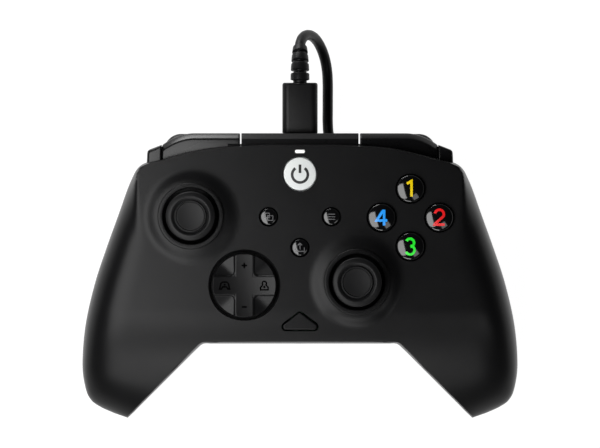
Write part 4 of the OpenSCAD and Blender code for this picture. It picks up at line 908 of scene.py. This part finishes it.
add_button("home_disc", "home_button", HOME_R, SMALL_CROWN, SMALL_STEM, HOME, HOME_GREY, "home")
height = dome_height(HOME_R, SMALL_CROWN)
standby = joined(ribbon(ring_line(0, -0.25, 2.75, 126, 414, 48), STANDBY_W, height),
                 ribbon([(0, 3.3), (0, 0.3)], STANDBY_W, height, lift=STANDBY_LIFT))
add_mesh("home_symbol", *moved(standby, *HOME), DARK, "home_button", "home")

# Function button and indicator: how far each ring is drawn in, and its height
FUNC_TOP, FUNC_LOW = 48.5, 42
FUNC_RINGS = [(0, FUNC_LOW), (0, FUNC_TOP - 0.45), (-0.08, FUNC_TOP - 0.2), (-0.25, FUNC_TOP - 0.05),
              (-0.45, FUNC_TOP), (-0.55, FUNC_TOP)]
func_part = loft([[(x, y, z) for x, y in func_outline(grow)] for grow, z in FUNC_RINGS])
piece = add_mesh("function_cap", *func_part, SHELL, "function_button", "shell", sharp=40)
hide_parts("function_button")

LENS_W, LENS_H = 3.5, 1.2
LENS_RINGS = [(0, POCKET_Z), (0, FACE_Z - 0.02), (0.03, FACE_Z + 0.02), (0.1, FACE_Z + 0.05)]
lens_part = loft([[(x, y, z) for x, y in pill(LENS_W - 2 * inset, LENS_H - 2 * inset, 0, LENS_Y)]
                  for inset, z in LENS_RINGS])
piece = add_mesh("indicator_pill", *lens_part, LENS, "root", "lens", sharp=40)
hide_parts("indicator_lens")


# Back edge: bumpers, shoulder caps, triggers

EDGE_SHARP, CORNER_SHARE = 40, 0.45
SIDES = (("left", -1), ("right", 1))


def eased(points, r, steps=3):
    """A closed outline with its corners rounded."""
    made, n = [], len(points)
    for i, p in enumerate(points):
        a, b = points[i - 1], points[(i + 1) % n]
        da, db = math.dist(p, a), math.dist(p, b)
        ra, rb = min(r, da * CORNER_SHARE) / da, min(r, db * CORNER_SHARE) / db
        s = [mix(p[k], a[k], ra) for k in (0, 1)]
        e = [mix(p[k], b[k], rb) for k in (0, 1)]
        for j in range(steps + 1):
            t = j / steps
            made.append(tuple((1 - t) ** 2 * s[k] + 2 * t * (1 - t) * p[k] + t * t * e[k] for k in (0, 1)))
    return made


def shrunk(outline, by):
    """An outline drawn in towards its middle."""
    mx = sum(p[0] for p in outline) / len(outline)
    my = sum(p[1] for p in outline) / len(outline)
    made = []
    for p in outline:
        far = max(1e-6, math.hypot(p[0] - mx, p[1] - my))
        k = max(0, 1 - by / far)
        made.append((mx + (p[0] - mx) * k, my + (p[1] - my) * k))
    return made


BUMPER_X, BUMPER_BEND_X, BUMPER_BEND, BUMPER_IN_BEND = (21.05, 48.3), 37, 4.1, 2.4
BUMPER_FALL, BUMPER_CROWN, BUMPER_EASE, BUMPER_STEPS = 0.05, 0.0016, 0.5, 48
BUMPER_IN_Y, BUMPER_IN_Z, BUMPER_LOW, BUMPER_SLOPE, BUMPER_UNDER = 42.4, 38.2, 34.5, 2, 2.5
# The hinge's place and hole, and the room for the bridge's ears above and below it
HINGE, HINGE_R, HINGE_Z = (23.5, 44.6), 1.25, (30, 50)
EAR_X, EAR_Y, EAR_ROOMS = (20.5, 25.3), (40, 46.3), ((33, 36.7), (42.1, 48))
# Distance from a bar's end, and how far the outline is drawn in there
END_STEPS = ((0, 0.35), (0.06, 0.16), (0.18, 0.04), (0.35, 0))


def bumper_outline(x):
    q = (max(0, x - BUMPER_BEND_X) / (BUMPER_X[1] - BUMPER_BEND_X)) ** 2
    y_in, y_out = BUMPER_IN_Y - BUMPER_IN_BEND * q, BACK_Y - BUMPER_BEND * q
    out = x - BUMPER_X[0]
    top = EDGE_TOP_Z - BUMPER_FALL * out - BUMPER_CROWN * out * out
    return eased([(y_in, BUMPER_IN_Z), (y_out - BUMPER_SLOPE, BUMPER_LOW), (y_out, BUMPER_LOW + BUMPER_UNDER),
                  (y_out, top - BUMPER_SLOPE), (y_out - BUMPER_SLOPE, top), (y_in, top)], BUMPER_EASE)


def end_places(x0, x1, steps):
    """Places along a bar with softened ends, and how far the outline is drawn in there."""
    inner = [(mix(x0 + END_STEPS[-1][0], x1 - END_STEPS[-1][0], i / steps), 0) for i in range(1, steps)]
    return [(x0 + d, by) for d, by in END_STEPS] + inner + [(x1 - d, by) for d, by in reversed(END_STEPS)]


def bumper_part(side):
    return loft([[(side * x, y, z) for y, z in shrunk(bumper_outline(x), by)]
                 for x, by in end_places(*BUMPER_X, BUMPER_STEPS)])


for name, side in SIDES:
    piece = add_mesh(f"{name}_bumper_bar", *bumper_part(side), EDGE, None, sharp=EDGE_SHARP)
    rooms = joined(*[side_box(side, EAR_X, EAR_Y, zs) for zs in EAR_ROOMS])
    cut(piece, rooms, moved(bore(HINGE_R, *HINGE_Z, 32), side * HINGE[0], HINGE[1]))
    settle(piece, EDGE_SHARP, f"{name}_bumper", f"{name}_bumper")

CAP_X0, CAP_X1, CAP_ARM_X, CAP_IN_Y, CAP_FRONT_Y, CAP_TOP_Z = 48.6, 53.75, 50.0, 41.8, 37.2, 43.2
CAP_MID, CAP_FALL, CAP_FALL_Z, ARM_ROOM_Z = (51.2, 41.2), 0.016, CAP_TOP_Z - 2, 36.5 + 0.3
# The cap's outer back corner, rounded, and its rings by height and how far each is drawn in
CAP_BACK, CAP_CORNER, CAP_CORNER_STEPS = [(CAP_X0, 45.9), (53.55, 44.0), (CAP_X1, 39.6)], 1.1, 5
CAP_RINGS = [(SPLIT_Z, 0.3), (SPLIT_Z + 0.3, 0), (CAP_TOP_Z - 0.9, 0), (CAP_TOP_Z - 0.5, 0.1),
             (CAP_TOP_Z - 0.18, 0.34), (CAP_TOP_Z, 0.8), (CAP_TOP_Z, 1.4), (CAP_TOP_Z, 2)]
# Boxes of the ledge under the bumper's end, which closes the gap beside the trigger
CAP_LIP_X, CAP_LIP_Z = 47.95, 34.2
CAP_LIP = [
    ((CAP_LIP_X, CAP_X0 + 0.4), (CAP_IN_Y - 0.2, 45.4), (SPLIT_Z + 0.5, CAP_LIP_Z)),
    ((CAP_LIP_X, 48.42), (39.5, CAP_IN_Y), (SPLIT_Z + 0.6, CAP_LIP_Z - 0.1)),
    ((48.3, 48.75), (CAP_IN_Y - 0.9, CAP_IN_Y + 0.1), (SPLIT_Z + 0.7, CAP_LIP_Z - 0.2)),
]
cap_corner = eased(CAP_BACK, CAP_CORNER, CAP_CORNER_STEPS)[CAP_CORNER_STEPS + 1:2 * CAP_CORNER_STEPS + 2]
cap_outline = [(CAP_X0, CAP_FRONT_Y), CAP_BACK[0]] + cap_corner + [CAP_BACK[2], (CAP_X1, CAP_FRONT_Y)]


def cap_part(side):
    """A block with a softened rim round its top, which falls outward."""
    mx, my = CAP_MID
    rings = []
    for z, by in CAP_RINGS:
        ring = []
        for x, y in cap_outline:
            k = by / math.hypot(x - mx, y - my)
            px = mix(x, mx, k)
            fall = CAP_FALL * (px - CAP_X0) ** 2 if z > CAP_FALL_Z else 0
            ring.append((side * px, mix(y, my, k), z - fall))
        rings.append(ring)
    return loft(rings)


blocks = joined(cap_part(-1), cap_part(1))
piece = add_mesh("shoulder_cap_blocks", *blocks, EDGE, "root", "edge", sharp=EDGE_SHARP)
for name, side in SIDES:
    cut(piece, side_box(side, (CAP_X0 - 1, CAP_ARM_X), (CAP_FRONT_Y - 1, CAP_IN_Y),
                        (SPLIT_Z - 1, ARM_ROOM_Z)))
    cut(piece, *[side_box(side, *spans) for spans in CAP_LIP], operation="UNION")
finish_mesh(piece.data, EDGE_SHARP)
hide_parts("shoulder_caps")

TRIGGER_IN_X, TRIGGER_END_X, TRIGGER_STEPS = 30.5, 47.7, 40
TRIGGER_TOP, TRIGGER_TIP, TRIGGER_LIP, TRIGGER_EASE, TRIGGER_END_SOFT = 34.0, 11.0, 1.8, 0.7, 1.6
# The outer end bends forward over a length along X, by a depth along Y, behind the trigger's root
TRIGGER_BEND_X, TRIGGER_BEND_Y, TRIGGER_BEND_SHARE, TRIGGER_ROOT_Y = 6, 6.2, 0.97, 40
AXLE_Y, AXLE_Z, AXLE_HOLE_R, AXLE_X, HUB_R = 38.5, 33.5, 1.25, (28, 50), 3.2
BRACKET_X, BRACKET_ROOM = (44, 50), 4.2
FINGER = [[50, 32.2], [47.5, 27], [46.6, 21.5], [47.4, 16], [49.5, 12.2]]
FINGER_STEPS = 5
UNDERSIDE = [(48.6, TRIGGER_TIP), (46, TRIGGER_TIP), (43.6, 17), (42, 23), (40.1, 28.5)]
trigger_outline = eased(
    [(AXLE_Y + HUB_R, TRIGGER_TOP), (BACK_Y - TRIGGER_LIP, TRIGGER_TOP)]
    + [tuple(spline(FINGER, i / FINGER_STEPS)) for i in range((len(FINGER) - 1) * FINGER_STEPS + 1)]
    + UNDERSIDE
    + [(AXLE_Y + HUB_R * math.cos(math.radians(a)), AXLE_Z + HUB_R * math.sin(math.radians(a)))
       for a in range(255, 20, -15)], TRIGGER_EASE, 2)


def trigger_part(side):
    root = TRIGGER_ROOT_Y
    rings = []
    for x, by in end_places(TRIGGER_IN_X, TRIGGER_END_X, TRIGGER_STEPS):
        t = clamp01((x - (TRIGGER_END_X - TRIGGER_BEND_X)) / TRIGGER_BEND_X)
        far_y = BACK_Y - TRIGGER_BEND_Y * (1 - math.sqrt(1 - TRIGGER_BEND_SHARE * t * t))
        ring = []
        for y, z in shrunk(trigger_outline, TRIGGER_END_SOFT * by):
            if y > root:
                y = root + (y - root) * (far_y - root) / (BACK_Y - root)
            ring.append((side * x, y, z))
        rings.append(ring)
    return loft(rings)


for name, side in SIDES:
    piece = add_mesh(f"{name}_trigger_lever", *trigger_part(side), TRIGGER, None, sharp=EDGE_SHARP)
    ring = circle(AXLE_HOLE_R, 32)
    axle_hole = loft([[(side * x, AXLE_Y + a, AXLE_Z + b) for a, b in ring] for x in AXLE_X])
    cut(piece, axle_hole, side_box(side, BRACKET_X, (AXLE_Y - BRACKET_ROOM, AXLE_Y + BRACKET_ROOM),
                                   (AXLE_Z - BRACKET_ROOM, AXLE_Z + BRACKET_ROOM)))
    settle(piece, EDGE_SHARP, f"{name}_trigger", f"{name}_trigger")


# Cable ends

# Width, height and corner of the plugs' grips, and the cable plug's places along Y with the inset at each
PLUG_SIZE, HOST_SIZE, BAR_LEAST_ROUND = (12.4, 6.6, 2.4), (16, 8, 2.5), 0.2
PLUG_STATIONS = [(50.02, 0.35), (50.1, 0.12), (50.35, 0), (66.9, 0), (67.35, 0.08),
                 (67.6, 0.28), (67.75, 0.6)]
BOOT_R, BOOT_END_R, BOOT_NOTCH, BOOT_RIBS, BOOT_STEPS = 3.35, 2.55, 0.95, 4, 96
NOTCH_MID, NOTCH_EDGE = 0.22, (0.09, 0.2)
HOST_RIBS, HOST_RIB_Y, HOST_RIB_PITCH, HOST_RIB_DEPTH = 5, 3, 2.4, 0.35


def bar_y(w, h, r, stations, x, z):
    """A rounded bar along Y through (place, inset) stations."""
    return loft([[(x + a, y, z + b)
                  for a, b in rounded_rect(w - 2 * i, h - 2 * i, max(BAR_LEAST_ROUND, r - i), 8)]
                 for y, i in stations])


def boot_ring(i):
    """A ring of the bend relief, drawn in at its notches."""
    f = i / BOOT_STEPS
    a = math.radians(BOOT_BEND * f)
    beat = (f * BOOT_RIBS) % 1
    notch = BOOT_NOTCH * (1 - ease(*NOTCH_EDGE, abs(beat - NOTCH_MID))) if i else 0
    r = mix(BOOT_R, BOOT_END_R, f * f) - notch
    c = boot_at(BOOT_BEND * f)
    return [(c[0] + p, c[1] + q * math.sin(a), c[2] + q * math.cos(a)) for p, q in circle(r, 40)]


plug_part = bar_y(*PLUG_SIZE, PLUG_STATIONS, 0, USB_Z)
plug = add_mesh("cable_plug_grip", *plug_part, PLUG, "root", "plug", sharp=40)
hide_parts("cable_plug")

boot_rings = [boot_ring(i) for i in range(BOOT_STEPS + 1)]
boot = add_mesh("bend_relief_ribs", *loft(boot_rings), PLUG, "root", "plug", sharp=50)
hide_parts("bend_relief")

host_stations = [(-3, 1.4), (-2.6, 0.6), (-1.8, 0)]
for k in range(HOST_RIBS):
    y = HOST_RIB_Y + HOST_RIB_PITCH * k
    host_stations += [(y, 0), (y + 0.25, HOST_RIB_DEPTH), (y + 1.0, HOST_RIB_DEPTH), (y + 1.25, 0)]
host_stations += [(24, 0), (24.6, 0.15), (25, 0.5)]
host_part = bar_y(*HOST_SIZE, host_stations, HOST[0], HOST[2])
host = add_mesh("host_plug_grip", *host_part, PLUG, "root", "plug", sharp=40)
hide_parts("host_plug")


# CAD nodes that show as they are, with their edges softened

WELD_M, SOFT_SEGMENTS, SOFT_ANGLE = 1e-5, 3, 35


def dress(material, *names, soft):
    for name in names:
        obj = NODES[name]
        obj.data.materials.clear()
        obj.data.materials.append(material)
        weld = obj.modifiers.new("weld", "WELD")
        weld.merge_threshold = WELD_M
        edge = obj.modifiers.new("soft_edges", "BEVEL")
        edge.width = soft * MM
        edge.segments = SOFT_SEGMENTS
        edge.limit_method = "ANGLE"
        edge.angle_limit = math.radians(SOFT_ANGLE)


STICKS = ("left_stick_", "right_stick_")
dress(BRIDGE, "top_bridge", soft=0.3)
dress(STEEL, "trigger_axles", "cable_plug_tongue", "host_plug_shell", "shell_screws", "board_screws",
      "cable_socket", soft=0.08)
dress(STEEL, "left_trigger_spring", "right_trigger_spring", "left_rumble_motor", "right_rumble_motor",
      *[s + p for s in STICKS for p in ("shaft", "spring", "base")], soft=0.08)
dress(BRASS, "left_rumble_weight", "right_rumble_weight", soft=0.15)
dress(INNER, "trigger_brackets", "pad_post", "pad_pivot", "press_switches",
      *[s + p for s in STICKS for p in ("cradle", "yoke")], soft=0.12)
dress(BOARD, "main_board", "stick_sensors", soft=0.08)
dress(MEMBRANE, "button_membrane", soft=0.1)
dress(PLUG, "headset_socket", soft=0.1)
dress(CABLE, "cable_tie", soft=0.2)


# Floor, light and background

FLOOR_HALF, FLOOR_Z, FLOOR_PALE = 3000, -0.3, 0.9
FLOOR_GLOW, FLOOR_SHARE = 1.12, 0.88


def floor_material():
    """A white glow where the camera sees it or it is mirrored, and plain and pale to all other light."""
    material = bpy.data.materials.new("floor_white")
    material.use_nodes = True
    tree = material.node_tree
    tree.nodes.clear()
    link = tree.links.new
    out = node(tree, "ShaderNodeOutputMaterial")
    blend = node(tree, "ShaderNodeMixShader")
    pale = node(tree, "ShaderNodeBsdfDiffuse", Color=(FLOOR_PALE, FLOOR_PALE, FLOOR_PALE, 1))
    glow = node(tree, "ShaderNodeEmission", Color=(1, 1, 1, 1), Strength=FLOOR_GLOW)
    rays = node(tree, "ShaderNodeLightPath")
    mirrored = node(tree, "ShaderNodeMath")
    mirrored.operation = "ADD"
    link(rays.outputs["Is Glossy Ray"], mirrored.inputs[0])
    link(rays.outputs["Is Transmission Ray"], mirrored.inputs[1])
    seen = node(tree, "ShaderNodeMath")
    seen.operation = "ADD"
    seen.use_clamp = True
    link(rays.outputs["Is Camera Ray"], seen.inputs[0])
    link(mirrored.outputs[0], seen.inputs[1])
    share = node(tree, "ShaderNodeMath")
    share.operation = "MULTIPLY"
    share.inputs[1].default_value = FLOOR_SHARE
    link(seen.outputs[0], share.inputs[0])
    link(share.outputs[0], blend.inputs["Fac"])
    link(pale.outputs[0], blend.inputs[1])
    link(glow.outputs[0], blend.inputs[2])
    link(blend.outputs[0], out.inputs["Surface"])
    return material


floor_corners = [(x * FLOOR_HALF, y * FLOOR_HALF, FLOOR_Z) for x, y in ((-1, -1), (1, -1), (1, 1), (-1, 1))]
floor = add_mesh("floor", floor_corners, [(0, 1, 2, 3)], floor_material(), None)

# Name, place, aim and size of each lamp in metres, and its watts
LAMPS = [
    ("key", (-0.11, -0.02, 0.262), (-0.03, 0, 0.04), (0.24, 0.14), 0.7),
    ("front", (-0.05, -0.3, 0.3), (0, 0, 0.04), (0.2, 0.1), 0.5),
    ("front_right", (0.11, -0.085, 0.265), (0.04, 0.02, 0.04), (0.08, 0.08), 0.055),
    ("back_left", (-0.13, 0.36, 0.06), (-0.02, 0.05, 0.04), (0.2, 0.08), 0.8),
]
for name, at, aim, size, watts in LAMPS:
    light = bpy.data.lights.new(name, "AREA")
    light.shape = "RECTANGLE"
    light.size, light.size_y = size
    light.energy = watts
    lamp = bpy.data.objects.new(name, light)
    scene.collection.objects.link(lamp)
    lamp.location = at
    lamp.rotation_euler = (Vector(aim) - Vector(at)).to_track_quat("-Z", "Y").to_euler()

# The background fades from a dim white at the horizon to black overhead
SKY_LOW, SKY_HIGH, SKY_DIM = 0.1, 0.7, 0.25
world = bpy.data.worlds.new("studio")
scene.world = world
world.use_nodes = True
sky = world.node_tree
backdrop = sky.nodes["Background"]
backdrop.inputs["Color"].default_value = (1, 1, 1, 1)
place = node(sky, "ShaderNodeTexCoord")
parts = node(sky, "ShaderNodeSeparateXYZ")
dim = node(sky, "ShaderNodeMapRange", From_Min=SKY_LOW, From_Max=SKY_HIGH, To_Min=SKY_DIM, To_Max=0.0)
sky.links.new(place.outputs["Generated"], parts.inputs["Vector"])
sky.links.new(parts.outputs["Z"], dim.inputs["Value"])
sky.links.new(dim.outputs["Result"], backdrop.inputs["Strength"])
